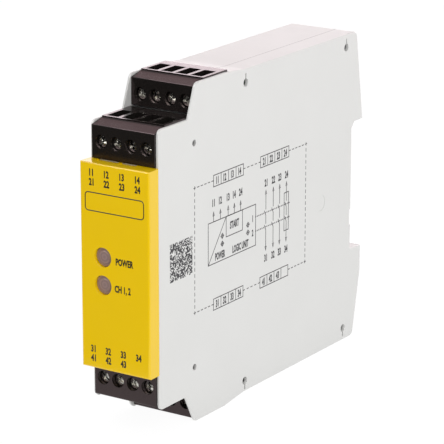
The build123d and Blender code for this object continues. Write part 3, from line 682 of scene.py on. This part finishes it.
@cache
def line_tree() -> GeometryNodeTree:
    """Builds the tree that turns edges on a sheet into flat printed lines."""
    tree, given = open_tree("printed_line", ("Width", "Thickness"), mesh=True)
    curve = add_node(tree, "GeometryNodeMeshToCurve", {"Mesh": given["Geometry"]})
    level = add_node(tree, "GeometryNodeSetCurveNormal", {"Curve": curve}, mode="Z_UP")
    section = add_node(tree, "GeometryNodeCurvePrimitiveQuadrilateral", {
        "Width": given["Width"], "Height": given["Thickness"],
    })
    return close_tree(tree, sweep(tree, level, section), given["Material"])


@cache
def dash_tree() -> GeometryNodeTree:
    """Builds the tree that lays dashes along edges on a sheet."""
    tree, given = open_tree(
        "printed_dashes", ("Pitch", "Dash", "Width", "Thickness"), mesh=True
    )
    curve = add_node(tree, "GeometryNodeMeshToCurve", {"Mesh": given["Geometry"]})
    points = add_node(tree, "GeometryNodeResampleCurve", {
        "Curve": curve, "Length": given["Pitch"],
    }, mode="LENGTH")
    tangent = add_node(tree, "GeometryNodeInputTangent")
    turn = add_node(tree, "FunctionNodeAlignRotationToVector", {"Vector": tangent}, axis="X")
    laid = add_node(tree, "GeometryNodeInstanceOnPoints", {
        "Points": points,
        "Instance": brick(tree, given["Dash"], given["Width"], given["Thickness"]),
        "Rotation": turn,
    })
    return close_tree(tree, laid, given["Material"])


@cache
def module_tree() -> GeometryNodeTree:
    """Builds the tree that fills a square with random printed modules."""
    tree, given = open_tree(
        "printed_modules", ("Side", "Share", "Thickness"), ("Count", "Seed")
    )
    cell = calculate(tree, "DIVIDE", given["Side"], given["Count"])
    inner = calculate(tree, "SUBTRACT", given["Side"], cell)
    grid = add_node(tree, "GeometryNodeMeshGrid", {
        "Size X": inner, "Size Y": inner,
        "Vertices X": given["Count"], "Vertices Y": given["Count"],
    })
    chosen = add_node(tree, "FunctionNodeRandomValue", {
        "Probability": given["Share"], "Seed": given["Seed"],
    }, data_type="BOOLEAN")
    laid = add_node(tree, "GeometryNodeInstanceOnPoints", {
        "Points": grid,
        "Selection": chosen.outputs[RANDOM_CHOICE],
        "Instance": brick(tree, cell, cell, given["Thickness"]),
    })
    return close_tree(tree, laid, given["Material"])


@cache
def screw_tree() -> GeometryNodeTree:
    """Builds the tree that cuts the drive into a turned blank and threads it."""
    tree, given = open_tree("terminal_screw", (
        "Slot Length", "Slot Width", "Slot Depth", "Cross Length", "Thread Radius",
        "Thread Start", "Thread Pitch", "Thread Turns", "Thread Flank", "Turn",
    ), mesh=True)
    twice = calculate(tree, "MULTIPLY", given["Slot Depth"], 2.0)
    blades = [
        brick(tree, given[along], given[across], twice)
        for along, across in (("Slot Length", "Slot Width"), ("Slot Width", "Cross Length"))
    ]
    cut = add_node(tree, "GeometryNodeMeshBoolean", {
        "Mesh 1": given["Geometry"], "Mesh 2": blades,
    }, operation="DIFFERENCE")
    height = calculate(tree, "MULTIPLY", given["Thread Pitch"], given["Thread Turns"])
    thread = wind(
        tree, given["Thread Turns"], given["Thread Radius"], height, given["Thread Flank"],
        steps=20, sides=3,
    )
    sunk = add_node(tree, "GeometryNodeTransform", {
        "Geometry": thread, "Translation": vector(tree, Z=given["Thread Start"]),
    })
    whole = add_node(tree, "GeometryNodeJoinGeometry", {"Geometry": [cut, sunk]})
    turned = add_node(tree, "GeometryNodeTransform", {
        "Geometry": whole, "Rotation": vector(tree, Z=given["Turn"]),
    })
    return close_tree(tree, turned, given["Material"])


@cache
def spring_tree() -> GeometryNodeTree:
    """Builds the tree that winds a coil spring."""
    tree, given = open_tree("coil_spring", ("Coils", "Coil Radius", "Wire Radius", "Length"))
    spring = wind(
        tree, given["Coils"], given["Coil Radius"], given["Length"], given["Wire Radius"],
        steps=28, sides=10,
    )
    return close_tree(tree, spring, given["Material"])


# Print


class Sheet(Enum):
    """Faces of the relay that carry print, with the node that each belongs to."""

    FRONT = "front_cover"
    RIGHT = "side_cover"

    def place(self) -> Matrix:
        """Returns the matrix from the sheet to the frame.

        A sheet has u and v for its own axes and faces out along w. On the front
        u runs along X, on the right side u is the depth from the front, and v
        is the height on both.
        """
        low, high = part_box(self.value)
        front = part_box(Sheet.FRONT.value)[0].y
        if self is Sheet.FRONT:
            return Matrix(((1, 0, 0, 0), (0, 0, -1, low.y), (0, 1, 0, 0), (0, 0, 0, 1)))
        return Matrix(((0, 0, 1, high.x), (1, 0, 0, front), (0, 1, 0, 0), (0, 0, 0, 1)))


@dataclass(frozen=True)
class Caption:
    """Words to print.

    Attributes:
        text: What is printed.
        centre: Middle of the words in millimetres.
        height: Height of a capital in millimetres.
        narrow: Width of the letters as a share of the font's own.
    """

    text: str
    centre: Point
    height: float = 2.1
    narrow: float = 0.62


@dataclass
class PrintShop:
    """Makes printed lines, dashes, modules and words as thin raised ink."""

    ink: Surface
    parts: list[Mesh] = field(default_factory=list)
    thickness: float = 0.03
    letter_steps: int = 2
    letter_weight: float = 0.042

    def _letters(self, words: str) -> Mesh:
        """Returns the words in the built-in font at a size of 1."""
        data = bpy.data.curves.new("lettering", "FONT")
        data.body = words
        data.resolution_u = self.letter_steps
        data.offset = self.letter_weight
        data.extrude = 0.5
        mesh = bake(add_object("lettering", data))
        bpy.data.curves.remove(data)
        return mesh

    @cached_property
    def capital(self) -> float:
        """Height of the font's capitals at a size of 1."""
        mesh = self._letters("H")
        height = max(v.co.y for v in mesh.vertices)
        bpy.data.meshes.remove(mesh)
        return height

    def line(self, runs: Iterable[list[Point]], width: float) -> None:
        """Prints runs of points as solid lines of a width in millimetres."""
        self.parts.append(run_tree(
            line_tree(), self.ink, {"Width": width, "Thickness": self.thickness},
            source=edge_mesh("lines", runs),
        ))

    def dash(
        self, runs: Iterable[list[Point]], width: float, pitch: float, dash: float
    ) -> None:
        """Prints runs of points as dashes of a length, one at each step of the pitch."""
        self.parts.append(run_tree(dash_tree(), self.ink, {
            "Pitch": pitch, "Dash": dash, "Width": width, "Thickness": self.thickness,
        }, source=edge_mesh("dashes", runs)))

    def modules(
        self, middle: Point, side: float, count: int, share: float, seed: int
    ) -> None:
        """Prints a square of random modules, of which a share is inked."""
        mesh = run_tree(
            module_tree(), self.ink, {"Side": side, "Thickness": self.thickness},
            {"Count": count, "Share": share, "Seed": seed},
        )
        mesh.transform(Matrix.Translation((middle[0] * MM, middle[1] * MM, 0)))
        self.parts.append(mesh)

    def words(self, caption: Caption) -> None:
        """Prints words on the sheet."""
        mesh = self._letters(caption.text)
        size = caption.height * MM / self.capital
        places = [v.co.x for v in mesh.vertices]
        middle = (min(places) + max(places)) / 2
        centred = Matrix.Translation((-middle, -self.capital / 2, 0))
        scale = Matrix.Diagonal((size * caption.narrow, size, self.thickness * MM, 1))
        spot = Matrix.Translation((caption.centre[0] * MM, caption.centre[1] * MM, 0))
        mesh.transform(spot @ scale @ centred)
        self.parts.append(mesh)

    def issue(self, name: str, sheet: Sheet) -> None:
        """Puts all that was printed on its sheet, as one piece of the housing."""
        shape = bmesh.new()
        for part in self.parts:
            shape.from_mesh(part)
            bpy.data.meshes.remove(part)
        for face in shape.faces:
            face.material_index = 0
        mesh = bpy.data.meshes.new(name)
        shape.to_mesh(mesh)
        shape.free()
        mesh.materials.append(finish(self.ink))
        add_piece(name, mesh, "housing", sheet.place())


def box_runs(low: Point, high: Point, width: float) -> list[list[Point]]:
    """Returns the four sides of a box as runs that meet at full corners."""
    reach = width / 2
    left, bottom = low
    right, top = high
    return [
        [(left - reach, bottom), (right + reach, bottom)],
        [(left - reach, top), (right + reach, top)],
        [(left, bottom), (left, top)],
        [(right, bottom), (right, top)],
    ]


def rounded_run(low: Point, high: Point, radius: float, steps: int = 5) -> list[Point]:
    """Returns a closed run round a box with rounded corners."""
    corners = [
        (high[0] - radius, high[1] - radius, 0.0),
        (low[0] + radius, high[1] - radius, 90.0),
        (low[0] + radius, low[1] + radius, 180.0),
        (high[0] - radius, low[1] + radius, 270.0),
    ]
    run = []
    for u, v, start in corners:
        for step in range(steps + 1):
            angle = math.radians(start + 90 * step / steps)
            run.append((u + radius * math.cos(angle), v + radius * math.sin(angle)))
    return run + run[:1]


@dataclass
class FrontPrint:
    """Print on the yellow cover: terminal numbers, label field and lamp names."""

    columns: tuple[float, ...] = (-7.6, -2.5, 2.6, 7.8)
    row_heights: tuple[float, ...] = (26.2, 23.5, -24.5, -27.2)
    number_height: float = 1.95
    number_narrow: float = 0.7
    field_low: Point = (-9.7, 15.3)
    field_high: Point = (9.8, 20.5)
    field_radius: float = 1.0
    field_width: float = 0.3
    lamp_names: tuple[Caption, ...] = (
        Caption("POWER", (3.3, 2.0), 1.95),
        Caption("CH 1, 2", (2.6, -5.8), 1.95),
    )

    def build(self) -> None:
        """Prints everything on the front."""
        shop = PrintShop(Surface.BLACK_INK)
        label_field = rounded_run(self.field_low, self.field_high, self.field_radius)
        numbers = [
            Caption(name, (place, height), self.number_height, self.number_narrow)
            for height, names in zip(self.row_heights, TERMINALS)
            for place, name in zip(self.columns, names)
        ]
        shop.line([label_field], self.field_width)
        for caption in (*numbers, *self.lamp_names):
            shop.words(caption)
        shop.issue("front_print", Sheet.FRONT)


@dataclass
class SidePrint:
    """Print on the right side: a wiring diagram and a square of code modules."""

    line_width: float = 0.25
    frame_low: Point = (22.5, -17.0)
    frame_high: Point = (81.5, 19.3)
    dash_pitch: float = 1.75
    dash_length: float = 1.1
    dot_width: float = 0.375
    dot_pitch: float = 0.85
    dot_length: float = 0.45
    arrow: Point = (0.45, 1.2)
    strip_starts: tuple[float, float] = (32.0, 56.5)
    strip_cell: float = 3.85
    strip_height: float = 3.3
    strip_gap: float = 0.5
    strip_narrow: float = 0.6
    strip_middles: tuple[float, float] = (19.15, -17.15)
    logic_low: Point = (29.3, -5.0)
    logic_high: Point = (54.0, 7.3)
    inner_low: Point = (38.5, 1.3)
    inner_high: Point = (47.0, 7.3)
    captions: tuple[Caption, ...] = (
        Caption("START", (42.8, 4.3), narrow=0.55),
        Caption("POWER", (35.4, -3.2), narrow=0.5),
        Caption("LOGIC UNIT", (46.0, -3.2), narrow=0.52),
        Caption("1", (52.4, 3.4), 1.9, 0.6),
        Caption("2", (52.4, -0.9), 1.9, 0.6),
    )
    lamp_columns: Point = (36.5, 49.9)
    lamp_rows: Point = (-0.2, 2.1)
    lamp_radius: float = 0.6
    lamp_flat: float = 0.001
    lamp_cross: float = 0.9
    lead_places: tuple[float, ...] = (32.0, 35.5, 39.5, 42.7, 46.0)
    lead_top: float = 10.3
    lead_names: tuple[str, ...] = ("11", "12", "13", "14", "24")
    lead_name_gap: float = 2.6
    contact_places: tuple[float, ...] = (59.5, 63.5, 67.0, 70.7)
    contact_top: float = 10.3
    contact_bottom: float = -8.0
    contact_name_gap: float = 2.2
    gap_middles: Point = (3.5, -0.8)
    gap_reach: float = 0.9
    blade: Point = (0.8, 0.7)
    fuse_bottom: float = -4.5
    fuse_top: float = 7.0
    fuse_reach: float = 1.2
    coupling_reach: float = 1.6
    code_low: Point = (10.3, -5.1)
    code_side: float = 11.0
    code_count: int = 33
    code_share: float = 0.6
    code_seed: int = 7

    def _strips(self, shop: PrintShop) -> None:
        """Prints the four terminal strips on the frame."""
        runs = []
        names = iter(TERMINALS)
        for middle in self.strip_middles:
            low = middle - self.strip_height / 2
            high = middle + self.strip_height / 2
            for start in self.strip_starts:
                end = start + POLES * self.strip_cell
                runs += box_runs((start, low), (end, high), self.line_width)
                for cell in range(1, POLES):
                    u = start + cell * self.strip_cell
                    runs.append([(u, low), (u, high)])
                for cell, name in enumerate(next(names)):
                    centre = (start + (cell + 0.5) * self.strip_cell, middle)
                    shop.words(Caption(name, centre, narrow=self.strip_narrow))
        shop.line(runs, self.line_width)

    def _frame(self, shop: PrintShop) -> None:
        """Prints the broken frame between the strips."""
        left, bottom = self.frame_low
        right, top = self.frame_high
        runs = [[(left, bottom), (left, top)], [(right, bottom), (right, top)]]
        for v in (bottom, top):
            edge = left
            for start in self.strip_starts:
                runs.append([(edge, v), (start - self.strip_gap, v)])
                edge = start + POLES * self.strip_cell + self.strip_gap
            runs.append([(edge, v), (right, v)])
        shop.dash(runs, self.line_width, self.dash_pitch, self.dash_length)

    def _arrow(self, u: float, tip: float, outward: int) -> list[Point]:
        """Returns the outline of an arrowhead that points up or down."""
        half, length = self.arrow
        foot = tip - outward * length
        return [(u, tip), (u - half, foot), (u + half, foot), (u, tip)]

    def _lamp(self, u: float, v: float) -> list[list[Point]]:
        """Returns the runs of a crossed circle, the sign of a lamp."""
        reach, cross = self.lamp_radius, self.lamp_cross
        circle = rounded_run(
            (u - reach, v - reach), (u + reach, v + reach), reach - self.lamp_flat, 3
        )
        return [circle, [(u - cross, v), (u + cross, v)], [(u, v - cross), (u, v + cross)]]

    def _logic(self, shop: PrintShop) -> None:
        """Prints the logic box with its inner box, diagonal, lamps and leads."""
        top = self.logic_high[1]
        runs = box_runs(self.logic_low, self.logic_high, self.line_width)
        runs.append([self.logic_low, (self.inner_low[0], top)])
        runs += box_runs(self.inner_low, self.inner_high, self.line_width)
        for place in self.lead_places:
            runs.append([(place, top), (place, self.lead_top)])
            runs.append(self._arrow(place, self.lead_top, 1))
        shop.line(runs, self.line_width)
        for place, name in zip(self.lead_places, self.lead_names):
            shop.words(Caption(name, (place, self.lead_top + self.lead_name_gap)))
        for caption in self.captions:
            shop.words(caption)
        for u in self.lamp_columns:
            for v in self.lamp_rows:
                shop.line(self._lamp(u, v), self.line_width)

    def _contacts(self, shop: PrintShop) -> None:
        """Prints the four contact paths, their coupling lines and numbers."""
        gap = self.gap_reach
        back, rise = self.blade
        runs = []
        for place in self.contact_places:
            start = self.contact_top
            for middle in self.gap_middles:
                runs.append([(place, start), (place, middle + gap)])
                runs.append([(place - back, middle + rise), (place, middle - gap)])
                start = middle - gap
            runs.append([(place, start), (place, self.contact_bottom)])
            runs.append(self._arrow(place, self.contact_top, 1))
            runs.append(self._arrow(place, self.contact_bottom, -1))
        last, reach = self.contact_places[-1], self.fuse_reach
        runs += box_runs(
            (last - reach, self.fuse_bottom), (last + reach, self.fuse_top), self.line_width
        )
        shop.line(runs, self.line_width)
        coupling = [
            [(self.logic_high[0], v), (last + self.coupling_reach, v)] for v in self.gap_middles
        ]
        shop.dash(coupling, self.dot_width, self.dot_pitch, self.dot_length)
        above = self.contact_top + self.contact_name_gap
        below = self.contact_bottom - self.contact_name_gap
        for first, v in ((2, above), (3, below)):
            for number, place in enumerate(self.contact_places, start=1):
                shop.words(Caption(f"{first}{number}", (place, v)))

    def _code(self) -> None:
        """Prints the square of random modules, which spells nothing."""
        shop = PrintShop(Surface.GREY_INK)
        middle = tuple(edge + self.code_side / 2 for edge in self.code_low)
        shop.modules(
            middle, self.code_side, self.code_count, self.code_share, self.code_seed
        )
        shop.issue("code_square", Sheet.RIGHT)

    def build(self) -> None:
        """Prints everything on the right side."""
        shop = PrintShop(Surface.GREY_INK)
        for work in (self._strips, self._logic, self._contacts, self._frame):
            work(shop)
        shop.issue("side_print", Sheet.RIGHT)
        self._code()


# Pieces that replace plain nodes


class Row(Enum):
    """The four rows of terminals, by the names of their nodes."""

    UPPER_FRONT = "upper_front"
    UPPER_REAR = "upper_rear"
    LOWER_FRONT = "lower_front"
    LOWER_REAR = "lower_rear"


@dataclass
class TerminalScrews:
    """The sixteen terminal screws, each turned to an angle of its own."""

    head_radius: float = 1.8
    head_height: float = 1.32
    dome: float = 0.2
    dome_steps: int = 4
    edge: float = 0.45
    edge_steps: int = 5
    shank_radius: float = 1.12
    length: float = 6.35
    tip: float = 0.3
    slot_length: float = 5.4
    slot_width: float = 0.6
    slot_depth: float = 0.7
    cross_length: float = 2.3
    thread_pitch: float = 0.5
    thread_turns: float = 8.0
    thread_flank: float = 0.225
    thread_end_gap: float = 0.5
    segments: int = 40
    smooth_angle: float = 30.0
    angles: tuple[float, ...] = (
        62, 24, 118, 82, 38, 151, 70, 12, 141, 57, 29, 96, 8, 74, 127, 48,
    )

    def _blank(self) -> Mesh:
        """Turns the blank, with the middle of its domed head at the origin's height."""
        flat = self.head_radius - self.edge
        crown = [(0, 0)]
        for step in range(1, self.dome_steps + 1):
            share = step / self.dome_steps
            crown.append((flat * share, -self.dome * share * share))
        for step in range(1, self.edge_steps + 1):
            angle = math.radians(90 * step / self.edge_steps)
            drop = self.dome + self.edge * (1 - math.cos(angle))
            crown.append((flat + self.edge * math.sin(angle), -drop))
        return revolve("screw_blank", crown + [
            (self.head_radius, -self.head_height),
            (self.shank_radius, -self.head_height),
            (self.shank_radius, self.tip - self.length),
            (self.shank_radius - self.tip, -self.length),
            (0, -self.length),
        ], self.segments)

    def build(self) -> None:
        """Makes the screws and puts each where its node is."""
        tree = screw_tree()
        lengths = {
            "Slot Length": self.slot_length,
            "Slot Width": self.slot_width,
            "Slot Depth": self.slot_depth,
            "Cross Length": self.cross_length,
            "Thread Radius": self.shank_radius,
            "Thread Start": self.thread_end_gap - self.length,
            "Thread Pitch": self.thread_pitch,
            "Thread Flank": self.thread_flank,
        }
        nodes = [f"{row.value}_screw_{number}" for row in Row for number in range(1, POLES + 1)]
        for node, angle in zip(nodes, self.angles):
            turns = {"Thread Turns": self.thread_turns, "Turn": math.radians(angle)}
            mesh = run_tree(tree, Surface.SCREW_ZINC, lengths, turns, self._blank())
            add_piece(
                f"turned_{node}", mesh, node, turned_place(node), self.smooth_angle,
                replaces=[node],
            )


@dataclass
class LightGuides:
    """The two smoked light guides behind the round holes of the cover.

    The face gives the radius and height of its corners from the middle to the
    rim, as shares of the disc's radius and of the dome's height.
    """

    disc_radius: float = 2.8
    flange_radius: float = 3.4
    stem_radius: float = 1.5
    disc_height: float = 0.5
    flange_height: float = 0.8
    dome: float = 0.3
    face: tuple[Point, ...] = (
        (0.0, 1.0), (0.3, 0.94), (0.52, 0.82), (0.57, 0.5),
        (0.66, 0.5), (0.71, 0.66), (0.93, 0.3), (1.0, 0.0),
    )
    segments: int = 56
    smooth_angle: float = 25.0

    def _lens(self, length: float) -> Mesh:
        """Turns one guide, with the rim of its disc at the origin's height."""
        flange_top = -self.disc_height
        flange_bottom = flange_top - self.flange_height
        face = [(share * self.disc_radius, rise * self.dome) for share, rise in self.face]
        return revolve("lens", face + [
            (self.disc_radius, flange_top),
            (self.flange_radius, flange_top),
            (self.flange_radius, flange_bottom),
            (self.stem_radius, flange_bottom),
            (self.stem_radius, -length),
            (0, -length),
        ], self.segments)

    def build(self) -> None:
        """Makes both guides where their nodes are."""
        for side in ("upper", "lower"):
            node = f"status_window_{side}"
            low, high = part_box(node)
            mesh = self._lens((high.y - low.y) / MM)
            mesh.materials.append(finish(Surface.WINDOW_POLYCARBONATE))
            add_piece(
                f"light_guide_{side}", mesh, "housing", turned_place(node), self.smooth_angle,
                replaces=[node],
            )


@dataclass
class FootSpring:
    """The coil spring that pushes the rail foot up."""

    coils: float = 6.0
    wire_radius: float = 0.35
    travel: float = 4.0
    smooth_angle: float = 50.0

    def build(self) -> None:
        """Winds the spring between the ends of its node."""
        low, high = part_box("foot_spring")
        width, length = (high.x - low.x) / MM, (high.z - low.z) / MM
        mesh = run_tree(spring_tree(), Surface.SPRING_STEEL, {
            "Coil Radius": width / 2 - self.wire_radius,
            "Wire Radius": self.wire_radius,
            "Length": length - 2 * self.wire_radius,
        }, {"Coils": self.coils})
        middle = (low + high) / 2
        start = Matrix.Translation((middle.x, middle.y, low.z + self.wire_radius * MM))
        piece = add_piece(
            "wound_foot_spring", mesh, "housing", start, self.smooth_angle,
            replaces=["foot_spring"],
        )
        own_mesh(piece)


@dataclass
class MouldedNodes:
    """The CAD nodes that stay, with real finishes and slightly broken edges."""

    edge_width: float = 0.12
    shell_edge_width: float = 0.2
    edge_angle: float = 35.0
    edge_steps: int = 2
    weld: float = 0.000001
    shells: tuple[str, ...] = ("housing_base", "side_cover")
    softened: tuple[str, ...] = (
        "housing_base",
        "side_cover",
        "front_cover",
        "rail_foot",
        *(f"{row.value}_terminal" for row in Row),
    )

    def _soften(self, node: Object) -> None:
        """Breaks the sharp edges of a node with modifiers alone."""
        weld = node.modifiers.new("weld", "WELD")
        weld.merge_threshold = self.weld
        width = self.shell_edge_width if node.name in self.shells else self.edge_width
        bevel = node.modifiers.new("edge", "BEVEL")
        bevel.width = width * MM
        bevel.segments = self.edge_steps
        bevel.limit_method = "ANGLE"
        bevel.angle_limit = math.radians(self.edge_angle)
        bevel.harden_normals = True

    def build(self) -> None:
        """Dresses every node that is still shown."""
        for name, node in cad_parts.items():
            if node.hide_render:
                continue
            for slot in node.material_slots:
                slot.material = finish(Surface[slot.material.name.upper()])
            if name in self.softened:
                self._soften(node)
            LOG.info("%s: dressed", name)


# Studio


@dataclass
class StudioCamera:
    """The camera, placed by fitting the photograph's corners."""

    focal_pixels: float = 2526.93
    image_pixels: int = 444
    azimuth: float = 0.58030
    elevation: float = 0.28305
    roll: float = 0.0015
    distance: float = 737.29
    shift_right: float = 1.9245
    shift_up: float = 0.5575
    target: Place = (0.0, -51.2, 0.0)
    sensor: float = 36.0
    nearest: float = 0.01
    furthest: float = 50.0

    def build(self) -> None:
        """Adds the camera and makes it the scene's."""
        data = bpy.data.cameras.new("studio_camera")
        data.sensor_width = self.sensor
        data.lens = self.focal_pixels / self.image_pixels * self.sensor
        data.clip_start = self.nearest
        data.clip_end = self.furthest
        turn, rise = self.azimuth, self.elevation
        back = Vector((
            math.sin(turn) * math.cos(rise),
            -math.cos(turn) * math.cos(rise),
            math.sin(rise),
        ))
        level = Vector((math.cos(turn), math.sin(turn), 0))
        upright = back.cross(level)
        right = math.cos(self.roll) * level + math.sin(self.roll) * upright
        up = math.cos(self.roll) * upright - math.sin(self.roll) * level
        axes = Matrix((right, up, back)).transposed()
        offset = Vector((-self.shift_right, -self.shift_up, self.distance))
        place = (Vector(self.target) + axes @ offset) * MM
        camera = add_object("studio_camera", data)
        camera.matrix_world = Matrix.Translation(place) @ axes.to_4x4()
        bpy.context.scene.camera = camera


@dataclass(frozen=True)
class Softbox:
    """One square softbox that faces the object."""

    name: str
    place: Place
    size: float
    level: float
    colour: str = "FFFFFF"

    def build(self, target: Vector) -> None:
        """Adds the lamp, turned to a target."""
        data = bpy.data.lights.new(self.name, "AREA")
        data.shape = "SQUARE"
        data.size = self.size
        place = Vector(self.place)
        reach = place - target
        # A lamp of this power lights a facing white sheet to the level asked for
        data.energy = self.level * math.pi ** 2 * reach.length_squared
        data.color = linear(self.colour)[:3]
        lamp = add_object(self.name, data)
        lamp.location = place
        lamp.rotation_mode = "QUATERNION"
        lamp.rotation_quaternion = reach.to_track_quat("Z", "Y")


def add_sheet(name: str, low: Place, high: Place, material: Material) -> Object:
    """Adds a flat sheet between two corners that isn't part of the object."""
    left, right = low[0], high[0]
    mesh = bpy.data.meshes.new(name)
    mesh.from_pydata([low, (right, *low[1:]), high, (left, *high[1:])], [], [(0, 1, 2, 3)])
    mesh.materials.append(material)
    sheet = add_object(name, mesh)
    return sheet


@dataclass(frozen=True)
class Card:
    """A dark or glowing card that is only seen mirrored in the object."""

    name: str
    low: Place
    high: Place
    level: float
    colour: str = "FFFFFF"

    def build(self, ground: float) -> None:
        """Adds the card, with the heights of its corners counted from the ground."""
        material = bpy.data.materials.new(self.name)
        tree = empty_tree(material)
        glow = add_node(tree, "ShaderNodeEmission", {
            "Color": linear(self.colour), "Strength": self.level,
        })
        add_node(tree, "ShaderNodeOutputMaterial", {"Surface": glow})
        low, high = ((x, y, z + ground) for x, y, z in (self.low, self.high))
        card = add_sheet(self.name, low, high, material)
        card.visible_camera = False
        card.visible_diffuse = False
        card.visible_shadow = False
        card.visible_transmission = False


def looked_at(tree: NodeTree) -> Node:
    """Adds a value that is 1 for the camera's direct and mirrored rays, else 0."""
    path = add_node(tree, "ShaderNodeLightPath")
    camera, glossy, clear = (
        path.outputs[f"Is {kind} Ray"] for kind in ("Camera", "Glossy", "Transmission")
    )
    return calculate(tree, "MAXIMUM", camera, calculate(tree, "MAXIMUM", glossy, clear))


@dataclass
class Studio:
    """White sweep, softboxes and the cards that give the plastic its sheen."""

    floor_gap: float = 0.05
    floor_reach: float = 3.0
    plain_level: float = 0.55
    paper: str = "F0F0F0"
    paper_glow: float = 1.06
    glow_share_looked_at: float = 0.9
    glow_share_else: float = 1.0
    cards: tuple[Card, ...] = (
        Card("dark_floor_card", (-4.0, -2.0, 0.0005), (1.0, -0.15, 0.0005), 0.01),
        Card("dark_wall_card", (-4.0, -2.0, 0.0), (1.0, -2.0, 1.1), 0.01),
        Card("front_ceiling_card", (-1.2, -1.75, 1.1), (0.5, -0.35, 1.1), 6.0),
        Card("bright_wall_card", (-1.8, 0.9, 0.0), (1.4, 0.9, 0.55), 2.8, "FFF1F5"),
        Card("dim_wall_card", (-1.8, 0.9, 0.56), (1.4, 0.9, 1.9), 0.72, "FFDDE1"),
        Card("bright_floor_card", (0.02, -0.15, 0.0005), (1.4, 0.88, 0.0005), 1.3),
    )
    softboxes: tuple[Softbox, ...] = (
        Softbox("key_softbox", (0.75, -0.55, 0.55), 0.5, 0.38),
        Softbox("top_softbox", (-0.1, 0.1, 0.9), 0.6, 0.16, "FFF4F6"),
    )

    def _world(self) -> None:
        """Makes the world white to the camera and plain to the surfaces."""
        world = bpy.data.worlds.new("white_room")
        bpy.context.scene.world = world
        tree = empty_tree(world)
        plain, white = (
            add_node(tree, "ShaderNodeBackground", {
                "Color": linear("FFFFFF"), "Strength": level,
            })
            for level in (self.plain_level, 1.0)
        )
        mixed = add_node(tree, "ShaderNodeMixShader", {
            0: looked_at(tree), 1: plain, 2: white,
        })
        add_node(tree, "ShaderNodeOutputWorld", {"Surface": mixed})

    def _floor_material(self) -> Material:
        """Builds white paper on a light table, nearly evenly white to the camera."""
        material = bpy.data.materials.new("White_paper_sweep")
        tree = empty_tree(material)
        share = add_node(tree, "ShaderNodeMapRange", {
            "Value": looked_at(tree),
            "To Min": self.glow_share_else,
            "To Max": self.glow_share_looked_at,
        })
        paper = add_node(tree, "ShaderNodeBsdfDiffuse", {"Color": linear(self.paper)})
        glow = add_node(tree, "ShaderNodeEmission", {"Strength": self.paper_glow})
        mixed = add_node(tree, "ShaderNodeMixShader", {
            0: share, 1: paper, 2: glow,
        })
        add_node(tree, "ShaderNodeOutputMaterial", {"Surface": mixed})
        return material

    def build(self) -> None:
        """Builds the floor, the cards, the world and the lamps."""
        low, high = CAD_BOUNDS
        ground = low.z - self.floor_gap * MM
        reach = self.floor_reach
        add_sheet(
            "floor_sheet", (-reach, -reach, ground), (reach, reach, ground),
            self._floor_material(),
        )
        for card in self.cards:
            card.build(ground)
        self._world()
        middle = (low + high) / 2
        for softbox in self.softboxes:
            softbox.build(middle)
        bpy.context.scene.view_settings.view_transform = "Standard"


def main() -> None:
    """Builds the pieces in order, then the studio."""
    logging.basicConfig(level=logging.INFO, format="%(name)s %(message)s")
    FrontPrint().build()
    SidePrint().build()
    TerminalScrews().build()
    LightGuides().build()
    FootSpring().build()
    MouldedNodes().build()
    StudioCamera().build()
    Studio().build()


if __name__ == "__main__":
    main()
